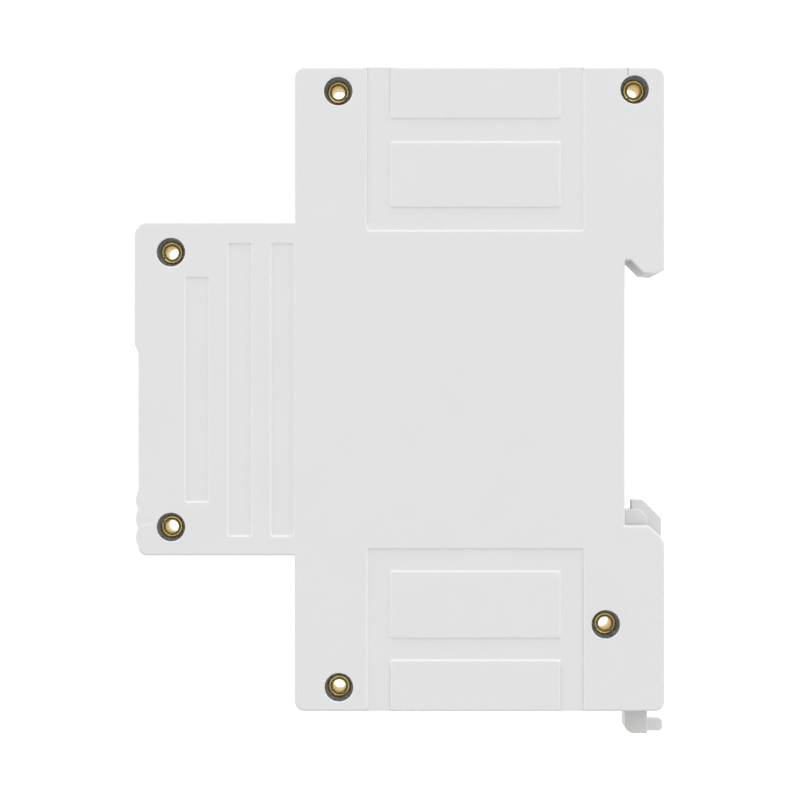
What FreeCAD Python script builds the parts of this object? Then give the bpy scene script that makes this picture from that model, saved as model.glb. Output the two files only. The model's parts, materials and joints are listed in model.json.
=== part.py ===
"""DIN rail timer, two modules wide: a riveted two-shell housing with a display, seven buttons under
a flap, five rising-cage terminals, a relay on its power board, and a sprung foot for 35 mm rail.

Frame: the origin is on the rail seat, at the rail's centre line and at the middle of the width.
The front faces -Y, +Z is up and X is the width. Units are millimetres."""

import FreeCAD
import Part
import Sketcher

import math
import os
import re

SIZES = {
    # Housing, seen from the side: y is measured from the rail seat, z from the rail's centre line
    "housing_width": 36.0,
    "wall": 2.0,
    "bezel_y": -65.51,
    "flap_y": -65.02,
    "step_y": -44.10,
    "back_y": 5.27,
    "top_z": 43.51,
    "bottom_z": -42.50,
    "nose_top_z": 22.82,
    "nose_bottom_z": -21.74,
    "bezel_low_z": 6.46,
    "flap_top_z": 5.54,
    "corner_radius": 1.3,
    "nose_top_radius": 1.8,
    "nose_bottom_radius": 1.2,
    "edge_radius": 0.3,
    "seam_trim": 6.0,
    # Rail seat: the 35 mm rail, the fixed hook above it and the cheeks below it
    "rail_height": 35.0,
    "rail_play": 0.52,
    "hook_flat": 0.75,
    "hook_lip_y": 2.52,
    "hook_tip_y": 4.19,
    "hook_lip_z": 15.98,
    "hook_tip_z": 15.78,
    "hook_back_z": 16.45,
    "cheek_flat": 3.23,
    "cheek_mid_y": 4.77,
    "cheek_mid_z": -19.12,
    "cheek_back_z": -20.08,
    # Finger ridges across the lower front
    "ridge_radius": 2.17,
    "ridge_rise": 0.36,
    "ridge_first_z": -14.25,
    "ridge_pitch": 2.5,
    # Brass tubular rivets and their counterbores
    "rivet_radius": 1.20,
    "rivet_bore": 0.85,
    "rivet_flange": 1.50,
    "rivet_lip": 0.40,
    "rivet_seat": 11.2,
    "rivet_hole": 1.22,
    "counterbore_radius": 1.91,
    "boss_radius": 3.0,
    "nose_boss_radius": 2.6,
    # Shallow relief on both sides
    "relief_depth": 0.25,
    "relief_corner": 0.35,
    "relief_front_y": -34.45,
    "relief_back_y": -5.51,
    "relief_top_z": 21.66,
    "relief_bottom_z": -20.77,
    "pad_front_y": -31.30,
    "pad_back_y": -8.62,
    "top_pad_low": 24.82,
    "top_pad_high": 33.50,
    "top_edge_pad": 36.70,
    "bottom_pad_low": -32.72,
    "bottom_pad_high": -23.84,
    "bottom_edge_pad": -35.73,
    "slot_front_y": -58.74,
    "slot_wide": 3.13,
    "slot_pitch": 5.72,
    "slot_top_z": 19.95,
    "slot_low_z": -19.11,
    "short_slot_top_z": 15.47,
    "short_slot_low_z": -14.57,
    "mould_line": 0.14,
    "mould_line_y": 0.40,
    "mould_line_low_z": 42.43,
    # Front panel, flap and its hinge
    "panel_gap": 0.1,
    "panel_back_y": -60.0,
    "panel_wall": 1.6,
    "panel_top_wall": 1.3,
    "shelf_top_z": 6.7,
    "floor_y": -61.6,
    "panel_low_z": -15.1,
    "lip_y": -63.0,
    "flap_thick": 1.6,
    "flap_gap": 0.3,
    "flap_low_z": -21.68,
    "hinge_y": -63.9,
    "hinge_z": 4.0,
    "barrel_radius": 1.12,
    "pin_radius": 0.60,
    "pin_play": 0.06,
    "pin_length": 1.4,
    # Display
    "window_left": -13.2,
    "window_right": 8.2,
    "window_low": 7.6,
    "window_high": 15.3,
    "lens_play": 0.05,
    "lens_front_y": -65.40,
    "lens_flange": 0.4,
    "lens_margin": 0.6,
    "glass_left": -14.2,
    "glass_right": 9.2,
    "glass_low": 6.9,
    "glass_high": 16.0,
    "glass_front_y": -63.4,
    "glass_back_y": -61.4,
    "strip_high": 1.1,
    "strip_inset": 0.6,
    "strip_gap": 0.2,
    "pipe_x": 12.4,
    "pipe_z": 11.4,
    "pipe_radius": 1.5,
    "pipe_flange_radius": 2.1,
    "pipe_front_y": -65.7,
    "pipe_flange_y": -63.0,
    "pipe_back_y": -57.2,
    "led_wide": 2.0,
    # Display board and what it carries
    "board_thick": 1.6,
    "display_board_y": -56.0,
    "display_board_half": 15.4,
    "display_board_low": -19.4,
    "display_board_high": 20.4,
    "ledge_deep": 1.4,
    "ledge_thick": 1.5,
    "ledge_low": 9.0,
    "ledge_high": 16.0,
    "chip_x": -3.0,
    "chip_z": 11.5,
    "chip_wide": 8.0,
    "chip_thick": 1.4,
    "chip_lead": 0.8,
    "chip_lead_thick": 0.3,
    "crystal_x": 4.0,
    "crystal_z": 9.0,
    "crystal_radius": 1.0,
    "crystal_long": 6.0,
    "cell_x": 2.0,
    "cell_z": -7.0,
    "cell_radius": 10.0,
    "cell_thick": 3.2,
    "strap_wide": 3.0,
    "strap_thick": 0.3,
    # Buttons, and the switches behind them
    "button_pitch": 7.6,
    "button_row_z": -0.8,
    "button_drop": 8.5,
    "button_radius": 2.2,
    "button_hole": 2.5,
    "button_front_y": -63.0,
    "button_flange": 2.9,
    "button_flange_y": -59.9,
    "button_back_y": -59.1,
    "switch_wide": 4.5,
    "switch_y": -58.0,
    "plunger_radius": 0.9,
    "plunger_y": -58.3,
    # Boards in the body
    "power_board_y": -14.0,
    "power_board_half": 15.2,
    "power_board_low": -26.5,
    "power_board_high": 27.5,
    "post_radius": 1.8,
    "post_x": 12.0,
    "post_z": 19.0,
    "riser_x": -14.6,
    "riser_thick": 1.0,
    "riser_half": 15.0,
    "header_wide": 2.5,
    "header_half": 12.0,
    # Relay
    "relay_x": 5.1,
    "relay_half": 7.75,
    "relay_low": 2.5,
    "relay_high": 21.5,
    "relay_front_y": -29.4,
    "relay_base_y": -15.6,
    "relay_wall": 0.8,
    "coil_y": -22.0,
    "coil_radius": 3.4,
    "coil_low": 5.4,
    "coil_high": 16.4,
    "bobbin_radius": 3.9,
    "bobbin_lip": 0.6,
    "core_radius": 1.5,
    "core_top": 17.3,
    "yoke_half": 4.0,
    "yoke_y": -27.4,
    "yoke_thick": 1.2,
    "yoke_low": 3.6,
    "yoke_foot": 0.8,
    "yoke_top": 17.6,
    "armature_z": 17.9,
    "armature_thick": 1.0,
    "armature_end_y": -16.6,
    "contact_half": 1.0,
    "contact_y": -17.9,
    "contact_thick": 0.6,
    "contact_open_z": 16.2,
    "contact_rest_z": 19.1,
    # Other parts on the power board
    "film_left": -10.8,
    "film_right": -4.0,
    "film_low": 2.0,
    "film_high": 20.0,
    "film_front_y": -27.0,
    "can_radius": 4.0,
    "can_front_y": -26.0,
    "can_first_x": 0.0,
    "can_pitch": 9.6,
    "can_z": -6.0,
    "varistor_x": -10.6,
    "varistor_thick": 4.0,
    "varistor_radius": 4.5,
    "varistor_y": -19.0,
    "varistor_z": -6.0,
    "lead_radius": 0.35,
    "lead_offset": 2.5,
    "bridge_x": 6.0,
    "bridge_z": -18.8,
    "bridge_wide": 6.5,
    "bridge_thick": 3.2,
    "resistor_x": -9.0,
    "resistor_long": 6.5,
    "resistor_radius": 1.2,
    "resistor_y": -15.6,
    "resistor_first_z": -14.0,
    "resistor_pitch": 3.2,
    # Terminals: three on top, two below
    "top_pitch": 10.5,
    "bottom_pitch": 14.0,
    "top_screw_z": 33.0,
    "bottom_screw_z": -32.0,
    "head_radius": 2.9,
    "head_front_y": -33.0,
    "head_back_y": -30.5,
    "slot_deep": 0.9,
    "slot_thick": 0.8,
    "shank_radius": 1.70,
    "shank_end_y": -22.2,
    "guide_radius": 4.4,
    "guide_bore": 3.3,
    "guide_shelf_y": -30.4,
    "guide_end_y": -28.9,
    "shank_hole": 1.9,
    "cage_half": 3.6,
    "cage_long": 6.4,
    "cage_front_y": -24.2,
    "cage_back_y": -15.4,
    "cage_nut": 1.8,
    "cage_side": 1.0,
    "cage_floor": 1.3,
    "nut_hole": 1.78,
    "bar_half": 2.2,
    "bar_y": -22.0,
    "bar_thick": 1.0,
    "bar_outer": 3.8,
    "bar_inner": 9.5,
    "entry_half": 3.2,
    "entry_front_y": -22.4,
    "entry_back_y": -15.6,
    "barrier": 1.0,
    "barrier_back_y": -14.5,
    "barrier_low": 7.0,
    # Sprung foot
    "clip_half": 9.2,
    "clip_play": 0.3,
    "clip_front_y": 0.2,
    "clip_back_y": 3.2,
    "clip_top_z": -15.7,
    "clip_slope": 1.0,
    "clip_low_z": -45.8,
    "clip_round": 1.2,
    "catch_half": 6.0,
    "catch_front_y": 1.25,
    "catch_flat_y": 2.69,
    "catch_back_y": 5.2,
    "catch_top_z": -14.38,
    "catch_low_z": -24.5,
    "stub_half": 3.0,
    "stub_end_y": 5.4,
    "stub_low_z": -45.65,
    "stub_high_z": -43.95,
    "stub_round": 0.5,
    "pocket_half": 2.4,
    "pocket_low": -39.0,
    "pocket_high": -26.0,
    "peg_half": 2.0,
    "peg_low": -38.95,
    "peg_high": -37.0,
    "spring_y": 1.7,
    "spring_radius": 1.375,
    "wire_radius": 0.225,
    "spring_pitch": 1.3,
}

RAIL_EDGE = "(rail_height + rail_play) / 2"
HALF = "housing_width / 2"
INNER = "housing_width / 2 - wall"
TURNS = {
    "x": FreeCAD.Rotation(FreeCAD.Vector(0, 1, 0), 90),
    "y": FreeCAD.Rotation(FreeCAD.Vector(1, 0, 0), -90),
    "z": FreeCAD.Rotation(),
}
RIVETS = {
    "nose_top": (-60.65, 18.80),
    "nose_bottom": (-60.64, -17.92),
    "front_top": (-38.29, 40.31),
    "back_top": (1.31, 40.52),
    "front_bottom": (-38.20, -39.33),
    "back_bottom": (-2.55, -30.93),
}
TERMINALS = [
    ("-top_pitch", "top_screw_z", 1),
    ("0", "top_screw_z", 1),
    ("top_pitch", "top_screw_z", 1),
    ("-bottom_pitch / 2", "bottom_screw_z", -1),
    ("bottom_pitch / 2", "bottom_screw_z", -1),
]
BUTTONS = {
    "button_program": (-1.5, 0),
    "button_day": (-0.5, 0),
    "button_hour": (0.5, 0),
    "button_minute": (1.5, 0),
    "button_manual": (-1.5, 1),
    "button_recall": (-0.5, 1),
    "button_clock": (0.5, 1),
}

doc = FreeCAD.newDocument("din_rail_timer")
sheet = doc.addObject("Spreadsheet::Sheet", "Sizes")
for spot, (post, (y, z)) in enumerate(RIVETS.items()):
    SIZES[f"rivet_y_{post}"] = y
    SIZES[f"rivet_z_{post}"] = z
for row, (word, value) in enumerate(SIZES.items(), start=1):
    sheet.set(f"A{row}", word)
    sheet.set(f"B{row}", str(value))
    sheet.setAlias(f"B{row}", word)
doc.recompute()

nodes = []


def formula(text):
    """Turn the plain words of a size into references to the sheet's cells."""

    def cell(found):
        word = found.group()
        return "Sizes." + word if word in SIZES else word

    return re.sub(r"[a-z]\w*", cell, text)


def place(item, *spots):
    for letter, text in zip("xyz", spots):
        item.setExpression("Placement.Base." + letter, formula(text))


def block(x, y, z):
    """A box between two planes on each axis: each pair is (low, high)."""
    item = doc.addObject("Part::Box", "Block")
    for side, (low, high) in zip(("Length", "Width", "Height"), (x, y, z)):
        item.setExpression(side, formula(f"({high}) - ({low})"))
    place(item, x[0], y[0], z[0])
    return item


def around(middle, half):
    """The two planes that stand half a width either side of a middle."""
    return (f"({middle}) - ({half})", f"({middle}) + ({half})")


def rod(axis, centre, span, radius):
    """A cylinder along one axis. centre holds its places on the other two, in x, y, z order."""
    item = doc.addObject("Part::Cylinder", "Rod")
    item.Placement = FreeCAD.Placement(FreeCAD.Vector(), TURNS[axis])
    item.setExpression("Height", formula(f"({span[1]}) - ({span[0]})"))
    item.setExpression("Radius", formula(radius))
    spots = list(centre)
    spots.insert("xyz".index(axis), span[0])
    place(item, *spots)
    return item


def fuse(*items):
    item = doc.addObject("Part::MultiFuse", "Fuse")
    item.Shapes = list(items)
    item.Refine = True
    return item


def cut(base, *tools):
    item = doc.addObject("Part::Cut", "Cut")
    item.Base = base
    item.Tool = tools[0] if len(tools) == 1 else fuse(*tools)
    item.Refine = True
    return item


def group(*items):
    item = doc.addObject("Part::Compound", "Group")
    item.Links = list(items)
    return item


def node(label, item):
    item.Label = label
    nodes.append(item)


def profile(corners, x):
    """A body between two x planes whose outline, seen from the side, has these (y, z) corners."""
    body = doc.addObject("PartDesign::Body", "Body")
    sketch = body.newObject("Sketcher::SketchObject", "Outline")
    plane = [part for part in body.Origin.OriginFeatures if part.Role == "YZ_Plane"]
    sketch.AttachmentSupport = [(plane[0], "")]
    sketch.MapMode = "FlatFace"
    sketch.setExpression("AttachmentOffset.Base.z", formula(x[0]))
    count = len(corners)
    angles = [-math.tau * index / count for index in range(count)]
    ring = [FreeCAD.Vector(math.cos(angle), math.sin(angle), 0) for angle in angles]
    for index in range(count):
        sketch.addGeometry(Part.LineSegment(ring[index], ring[(index + 1) % count]))
    for index in range(count):
        sketch.addConstraint(Sketcher.Constraint("Coincident", index, 2, (index + 1) % count, 1))
    for index, (y, z) in enumerate(corners):
        for kind, now, text in (("DistanceX", ring[index].x, y), ("DistanceY", ring[index].y, z)):
            number = sketch.addConstraint(Sketcher.Constraint(kind, -1, 1, index, 1, now))
            sketch.setExpression(f"Constraints[{number}]", formula(text))
    pad = body.newObject("PartDesign::Pad", "Pad")
    pad.Profile = sketch
    pad.setExpression("Length", formula(f"({x[1]}) - ({x[0]})"))
    return body


def rounded(body, radius, wanted):
    """Round those of the body's edges that wanted() picks."""
    doc.recompute()
    base = body.Tip
    names = [f"Edge{n}" for n, edge in enumerate(base.Shape.Edges, start=1) if wanted(edge)]
    fillet = body.newObject("PartDesign::Fillet", "Fillet")
    fillet.Base = (base, names)
    fillet.setExpression("Radius", formula(radius))
    body.Tip = fillet
    return body


def corner(*cells):
    """Picks the edges along X at the side view's corners, each named by its y and z cells."""
    spots = [(SIZES[y], SIZES[z]) for y, z in cells]

    def wanted(edge):
        start, end = edge.Vertexes[0].Point, edge.Vertexes[-1].Point
        if abs(start.y - end.y) > 1e-6 or abs(start.z - end.z) > 1e-6:
            return False
        return any(abs(start.y - y) < 1e-6 and abs(start.z - z) < 1e-6 for y, z in spots)

    return wanted


def plate(x, y, z, radius):
    """A box whose four edges along X are rounded."""
    corners = [(y[0], z[0]), (y[0], z[1]), (y[1], z[1]), (y[1], z[0])]
    body = profile(corners, x)
    return rounded(body, radius, lambda edge: abs(edge.tangentAt(edge.FirstParameter).x) > 0.99)


def rivet_spot(post):
    return (f"rivet_y_{post}", f"rivet_z_{post}")


OUTLINE = [
    ("bezel_y", "nose_top_z"),
    ("bezel_y", "bezel_low_z"),
    ("flap_y", "flap_top_z"),
    ("flap_y", "nose_bottom_z"),
    ("step_y", "nose_bottom_z"),
    ("step_y", "bottom_z"),
    ("back_y", "bottom_z"),
    ("back_y", "cheek_back_z"),
    ("cheek_mid_y", "cheek_mid_z"),
    ("cheek_flat", f"-{RAIL_EDGE}"),
    ("0", f"-{RAIL_EDGE}"),
    ("0", RAIL_EDGE),
    ("hook_flat", RAIL_EDGE),
    ("hook_lip_y", "hook_lip_z"),
    ("hook_tip_y", "hook_tip_z"),
    ("back_y", "hook_back_z"),
    ("back_y", "top_z"),
    ("step_y", "top_z"),
    ("step_y", "nose_top_z"),
]


def ridges(x):
    """The three finger ridges across the lower front."""
    middle = "flap_y - ridge_rise + ridge_radius"
    return [
        rod("x", (middle, f"ridge_first_z - {step} * ridge_pitch"), x, "ridge_radius")
        for step in range(3)
    ]


def shell_body():
    """The moulding's outer form, a slab with the whole side outline."""
    body = profile(OUTLINE, ("0", HALF))
    rounded(body, "nose_top_radius", corner(("bezel_y", "nose_top_z")))
    rounded(body, "nose_bottom_radius", corner(("flap_y", "nose_bottom_z")))
    ends = [("step_y", "bottom_z"), ("back_y", "bottom_z"), ("back_y", "top_z"), ("step_y", "top_z")]
    rounded(body, "corner_radius", corner(*ends))
    face = SIZES["housing_width"] / 2
    return rounded(body, "edge_radius", lambda edge: edge.BoundBox.XMin > face - 1e-6)


def shell_rooms():
    """The hollow of one shell, open at the seam, and the opening for the front panel."""
    deep = ("-wall", INNER)
    return [
        block(deep, ("step_y + wall", "-wall"), ("bottom_z + wall", "top_z - wall")),
        block(
            deep,
            ("panel_back_y - wall", "step_y + 2 * wall"),
            ("nose_bottom_z + wall", "nose_top_z - wall"),
        ),
        block(deep, ("-2 * wall", "back_y - wall"), ("hook_back_z + 2 * wall", "top_z - wall")),
        block(
            deep,
            ("bezel_y - wall", "panel_back_y + panel_gap"),
            ("nose_bottom_z + wall", "nose_top_z + wall"),
        ),
        block(deep, ("bezel_y - wall", "lip_y"), ("nose_bottom_z - wall", "nose_top_z")),
    ]


def shell_bosses():
    """Rivet bosses, screw guides, board posts, ledges and the barriers between terminals."""
    parts = []
    for post in RIVETS:
        radius = "nose_boss_radius" if post.startswith("nose") else "boss_radius"
        parts.append(rod("x", rivet_spot(post), ("0", INNER), radius))
    for x, z, _ in TERMINALS[1:3] + TERMINALS[4:]:
        parts.append(rod("y", (x, z), ("step_y + wall", "guide_end_y"), "guide_radius"))
    for z in ("post_z", "-post_z"):
        parts.append(
            rod("y", ("post_x", z), ("power_board_y + board_thick", "-wall"), "post_radius")
        )
    for z in (("ledge_low", "ledge_high"), ("-ledge_high", "-ledge_low")):
        back = "display_board_y + board_thick"
        parts.append(block((f"{INNER} - ledge_deep", INNER), (back, f"{back} + ledge_thick"), z))
    long = ("step_y + wall", "barrier_back_y")
    parts.append(
        block(
            around("top_pitch / 2", "barrier / 2"),
            long,
            ("top_screw_z - barrier_low", "top_z - wall"),
        )
    )
    parts.append(
        block(("0", "barrier / 2"), long, ("bottom_z + wall", "bottom_screw_z + barrier_low"))
    )
    return parts


def relief():
    """What is sunk into the side face: two fields with raised pads, three slots in the nose."""
    x = (f"{HALF} - relief_depth", f"{HALF} + wall")
    field = ("relief_front_y", "relief_back_y")
    pad = ("pad_front_y", "pad_back_y")
    corner_size = "relief_corner"
    tools = [
        cut(
            plate(x, field, ("relief_top_z", "top_z + wall"), corner_size),
            plate(x, pad, ("top_pad_low", "top_pad_high"), corner_size),
            plate(x, pad, ("top_edge_pad", "top_z + 2 * wall"), corner_size),
        ),
        cut(
            plate(x, field, ("bottom_z - wall", "relief_bottom_z"), corner_size),
            plate(x, pad, ("bottom_pad_low", "bottom_pad_high"), corner_size),
            plate(x, pad, ("bottom_z - 2 * wall", "bottom_edge_pad"), corner_size),
        ),
    ]
    for step in range(3):
        front = f"slot_front_y + {step} * slot_pitch"
        high = "slot_top_z" if step else "short_slot_top_z"
        low = "slot_low_z" if step else "short_slot_low_z"
        tools.append(plate(x, (front, f"{front} + slot_wide"), (low, high), corner_size))
    tools.append(
        block(x, around("mould_line_y", "mould_line / 2"), ("mould_line_low_z", "top_z + wall"))
    )
    return tools


def shell_holes():
    """Counterbores, rivet holes, screw bores, wire entries, the foot's slot and the flap's pin hole."""
    tools = relief()
    for post in RIVETS:
        spot = rivet_spot(post)
        tools.append(rod("x", spot, ("rivet_seat", f"{HALF} + wall"), "counterbore_radius"))
        tools.append(rod("x", spot, ("-wall", HALF), "rivet_hole"))
    for x, z, end in TERMINALS[1:3] + TERMINALS[4:]:
        tools.append(rod("y", (x, z), ("step_y - wall", "guide_shelf_y"), "guide_bore"))
        tools.append(rod("y", (x, z), ("guide_shelf_y", "guide_end_y + wall"), "shank_hole"))
        entry = ("entry_front_y", "entry_back_y")
        gate = ("top_z - 2 * wall", "top_z + wall")
        if end < 0:
            gate = ("bottom_z - wall", "bottom_z + 2 * wall")
        tools.append(block(around(x, "entry_half"), entry, gate))
    slot = ("bottom_z - wall", f"wall - {RAIL_EDGE}")
    tools.append(block(("-wall", "clip_half + clip_play"), ("0", "clip_back_y + clip_play"), slot))
    tools.append(block(("-wall", "catch_half + clip_play"), ("clip_back_y", "back_y + wall"), slot))
    reach = (f"{HALF} - 2 * wall", f"{INNER} + pin_length")
    tools.append(rod("x", ("hinge_y", "hinge_z"), reach, "pin_radius + pin_play"))
    tools.append(
        block(("-seam_trim", "0"), ("bezel_y", "back_y + wall"), ("bottom_z - wall", "top_z"))
    )
    return tools


def shells():
    """The right shell, and the left one as its mirror image."""
    solid = fuse(shell_body(), *ridges((INNER, HALF)))
    hollow = cut(solid, *shell_rooms())
    holed = cut(fuse(hollow, *shell_bosses()), *shell_holes())
    peg = block(("0", "peg_half"), ("-wall / 2", "clip_back_y"), ("peg_low", "peg_high"))
    right = fuse(holed, peg)
    left = doc.addObject("Part::Mirroring", "Mirror")
    left.Source = right
    left.Normal = FreeCAD.Vector(1, 0, 0)
    node("right_shell", right)
    node("left_shell", left)


def side_rivets():
    """Six tubes of brass, rolled over at both ends."""
    rivets = []
    for post in RIVETS:
        spot = rivet_spot(post)
        end = "rivet_seat + rivet_lip"
        tube = rod("x", spot, (f"-({end})", end), "rivet_radius")
        lips = [
            rod("x", spot, (f"-({end})", "-rivet_seat"), "rivet_flange"),
            rod("x", spot, ("rivet_seat", end), "rivet_flange"),
        ]
        rivets.append(cut(fuse(tube, *lips), rod("x", spot, (f"-{HALF}", HALF), "rivet_bore")))
    node("side_rivets", group(*rivets))


def button_spot(column, row):
    return (f"{column} * button_pitch", f"button_row_z - {row} * button_drop")


def front_panel():
    """The bezel with its window, and below it the floor that the buttons come through."""
    x = (f"panel_gap - {HALF} + wall", f"{INNER} - panel_gap")
    corners = [
        ("bezel_y", "nose_top_z"),
        ("bezel_y", "bezel_low_z"),
        ("flap_y", "flap_top_z"),
        ("floor_y", "flap_top_z"),
        ("floor_y", "panel_low_z"),
        ("panel_back_y", "panel_low_z"),
        ("panel_back_y", "nose_top_z"),
    ]
    body = rounded(profile(corners, x), "nose_top_radius", corner(("bezel_y", "nose_top_z")))
    back = "panel_back_y + wall"
    room = block(x, ("bezel_y + panel_wall", back), ("shelf_top_z", "nose_top_z - panel_top_wall"))
    window = block(
        ("window_left", "window_right"), ("bezel_y - wall", back), ("window_low", "window_high")
    )
    pipe = rod("y", ("pipe_x", "pipe_z"), ("bezel_y - wall", back), "pipe_radius + lens_play")
    holes = [
        rod("y", button_spot(*spot), ("bezel_y", back), "button_hole") for spot in BUTTONS.values()
    ]
    node("front_panel", cut(body, room, window, pipe, *holes))


def flap_cover():
    """A flap on two pins, with the finger ridges at its lower edge."""
    x = (f"flap_gap - {HALF} + wall", f"{INNER} - flap_gap")
    back = "flap_y + flap_thick"
    corners = [
        ("flap_y", "hinge_z"),
        ("flap_y", "flap_low_z"),
        (back, "flap_low_z"),
        (back, "hinge_z"),
    ]
    leaf = rounded(profile(corners, x), "nose_bottom_radius", corner(("flap_y", "flap_low_z")))
    behind = block(x, ("flap_y + flap_thick / 2", "panel_back_y"), ("flap_low_z", "0"))
    grips = cut(fuse(*ridges(x)), behind)
    barrel = rod("x", ("hinge_y", "hinge_z"), x, "barrel_radius")
    reach = f"{INNER} + pin_length - pin_play"
    pin = rod("x", ("hinge_y", "hinge_z"), (f"-({reach})", reach), "pin_radius")
    node("flap_cover", fuse(leaf, grips, barrel, pin))


def display():
    """Lens, glass cell, light guide, the two rubber contact strips and the indicator."""
    back = "bezel_y + panel_wall"
    lens = block(
        ("window_left + lens_play", "window_right - lens_play"),
        ("lens_front_y", back),
        ("window_low + lens_play", "window_high - lens_play"),
    )
    flange = block(
        ("window_left - lens_margin", "window_right + lens_margin"),
        (back, f"{back} + lens_flange"),
        ("window_low - lens_margin", "window_high + lens_margin"),
    )
    node("display_window", fuse(lens, flange))
    wide = ("glass_left", "glass_right")
    glass = block(wide, ("glass_front_y", "glass_back_y"), ("glass_low", "glass_high"))
    node("lcd_glass", glass)
    wide = ("glass_left + strip_inset", "glass_right - strip_inset")
    deep = ("glass_back_y", "display_board_y")
    strips = [
        block(wide, deep, ("glass_low", "glass_low + strip_high")),
        block(wide, deep, ("glass_high - strip_high", "glass_high")),
    ]
    node("zebra_strips", group(*strips))
    margin = "strip_high + strip_gap"
    guide = block(wide, deep, (f"glass_low + {margin}", f"glass_high - ({margin})"))
    node("lcd_backlight", guide)
    spot = ("pipe_x", "pipe_z")
    pipe = rod("y", spot, ("pipe_front_y", "pipe_back_y"), "pipe_radius")
    collar = rod("y", spot, (back, "pipe_flange_y"), "pipe_flange_radius")
    node("light_pipe", fuse(pipe, collar))
    led = block(
        around("pipe_x", "led_wide / 2"),
        ("pipe_back_y + panel_gap", "display_board_y"),
        around("pipe_z", "led_wide / 2"),
    )
    node("indicator_led", led)


def display_board():
    """The front board, with the controller, crystal and backup cell on its back."""
    rear = "display_board_y + board_thick"
    board = block(
        around("0", "display_board_half"),
        ("display_board_y", rear),
        ("display_board_low", "display_board_high"),
    )
    node("display_board", board)
    half = "chip_wide / 2"
    chip = block(around("chip_x", half), (rear, f"{rear} + chip_thick"), around("chip_z", half))
    leads = block(
        around("chip_x", f"{half} + chip_lead"),
        (rear, f"{rear} + chip_lead_thick"),
        around("chip_z", f"{half} + chip_lead"),
    )
    node("microcontroller", fuse(chip, leads))
    middle = f"{rear} + crystal_radius"
    span = ("crystal_x", "crystal_x + crystal_long")
    node("crystal", rod("x", (middle, "crystal_z"), span, "crystal_radius"))
    deep = (f"{rear} + panel_gap", f"{rear} + panel_gap + cell_thick")
    node("backup_battery", rod("y", ("cell_x", "cell_z"), deep, "cell_radius"))
    reach = "cell_radius + panel_gap + strap_thick"
    strap_x = around("cell_x", "strap_wide / 2")
    strap = block(strap_x, (rear, f"{deep[1]} + strap_thick"), around("cell_z", reach))
    inside = block(
        around("cell_x", "strap_wide"), (rear, deep[1]), around("cell_z", "cell_radius + panel_gap")
    )
    node("battery_clip", cut(strap, inside))


def buttons():
    """Seven caps with flanges, and the switches that they press."""
    switches = []
    for name, (column, row) in BUTTONS.items():
        spot = button_spot(column, row)
        cap = rod("y", spot, ("button_front_y", "button_back_y"), "button_radius")
        flange = rod("y", spot, ("button_flange_y", "button_back_y"), "button_flange")
        node(name, fuse(cap, flange))
        half = "switch_wide / 2"
        base = block(
            around(spot[0], half), ("switch_y", "display_board_y"), around(spot[1], half)
        )
        plunger = rod("y", spot, ("plunger_y", "display_board_y"), "plunger_radius")
        switches.append(fuse(base, plunger))
    node("button_switches", group(*switches))


def boards():
    """The power board at the back, and the riser that joins it to the display board."""
    board = block(
        around("0", "power_board_half"),
        ("power_board_y", "power_board_y + board_thick"),
        ("power_board_low", "power_board_high"),
    )
    node("power_board", board)
    front = "display_board_y + board_thick"
    riser = block(
        ("riser_x", "riser_x + riser_thick"), (front, "power_board_y"), around("0", "riser_half")
    )
    node("riser_board", riser)
    side = ("riser_x + riser_thick", "riser_x + riser_thick + header_wide")
    high = around("0", "header_half")
    headers = [
        block(side, (front, f"{front} + header_wide"), high),
        block(side, ("power_board_y - header_wide", "power_board_y"), high),
    ]
    node("board_headers", group(*headers))


def relay():
    """Base, case, coil on its core, yoke, armature and the two fixed contacts."""
    x = around("relay_x", "relay_half")
    z = ("relay_low", "relay_high")
    node("relay_base", block(x, ("relay_base_y", "power_board_y"), z))
    case = block(x, ("relay_front_y", "relay_base_y"), z)
    room = block(
        around("relay_x", "relay_half - relay_wall"),
        ("relay_front_y + relay_wall", "power_board_y"),
        ("relay_low + relay_wall", "relay_high - relay_wall"),
    )
    node("relay_case", cut(case, room))
    axis = ("relay_x", "coil_y")
    winding = rod("z", axis, ("coil_low", "coil_high"), "coil_radius")
    lips = [
        rod("z", axis, ("coil_low - bobbin_lip", "coil_low"), "bobbin_radius"),
        rod("z", axis, ("coil_high", "coil_high + bobbin_lip"), "bobbin_radius"),
    ]
    core = rod("z", axis, ("yoke_low + yoke_foot", "core_top"), "core_radius")
    node("relay_coil", fuse(winding, *lips, core))
    side = around("relay_x", "yoke_half")
    leaf = block(side, ("yoke_y", "yoke_y + yoke_thick"), ("yoke_low", "yoke_top"))
    foot = block(side, ("yoke_y", "coil_y + bobbin_radius"), ("yoke_low", "yoke_low + yoke_foot"))
    node("relay_yoke", fuse(leaf, foot))
    armature = block(
        side, ("yoke_y", "armature_end_y"), ("armature_z", "armature_z + armature_thick")
    )
    node("relay_armature", armature)
    contacts = [
        block(
            around("relay_x", "contact_half"),
            ("contact_y", "relay_base_y"),
            (low, f"{low} + contact_thick"),
        )
        for low in ("contact_open_z", "contact_rest_z")
    ]
    node("relay_contacts", group(*contacts))


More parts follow.
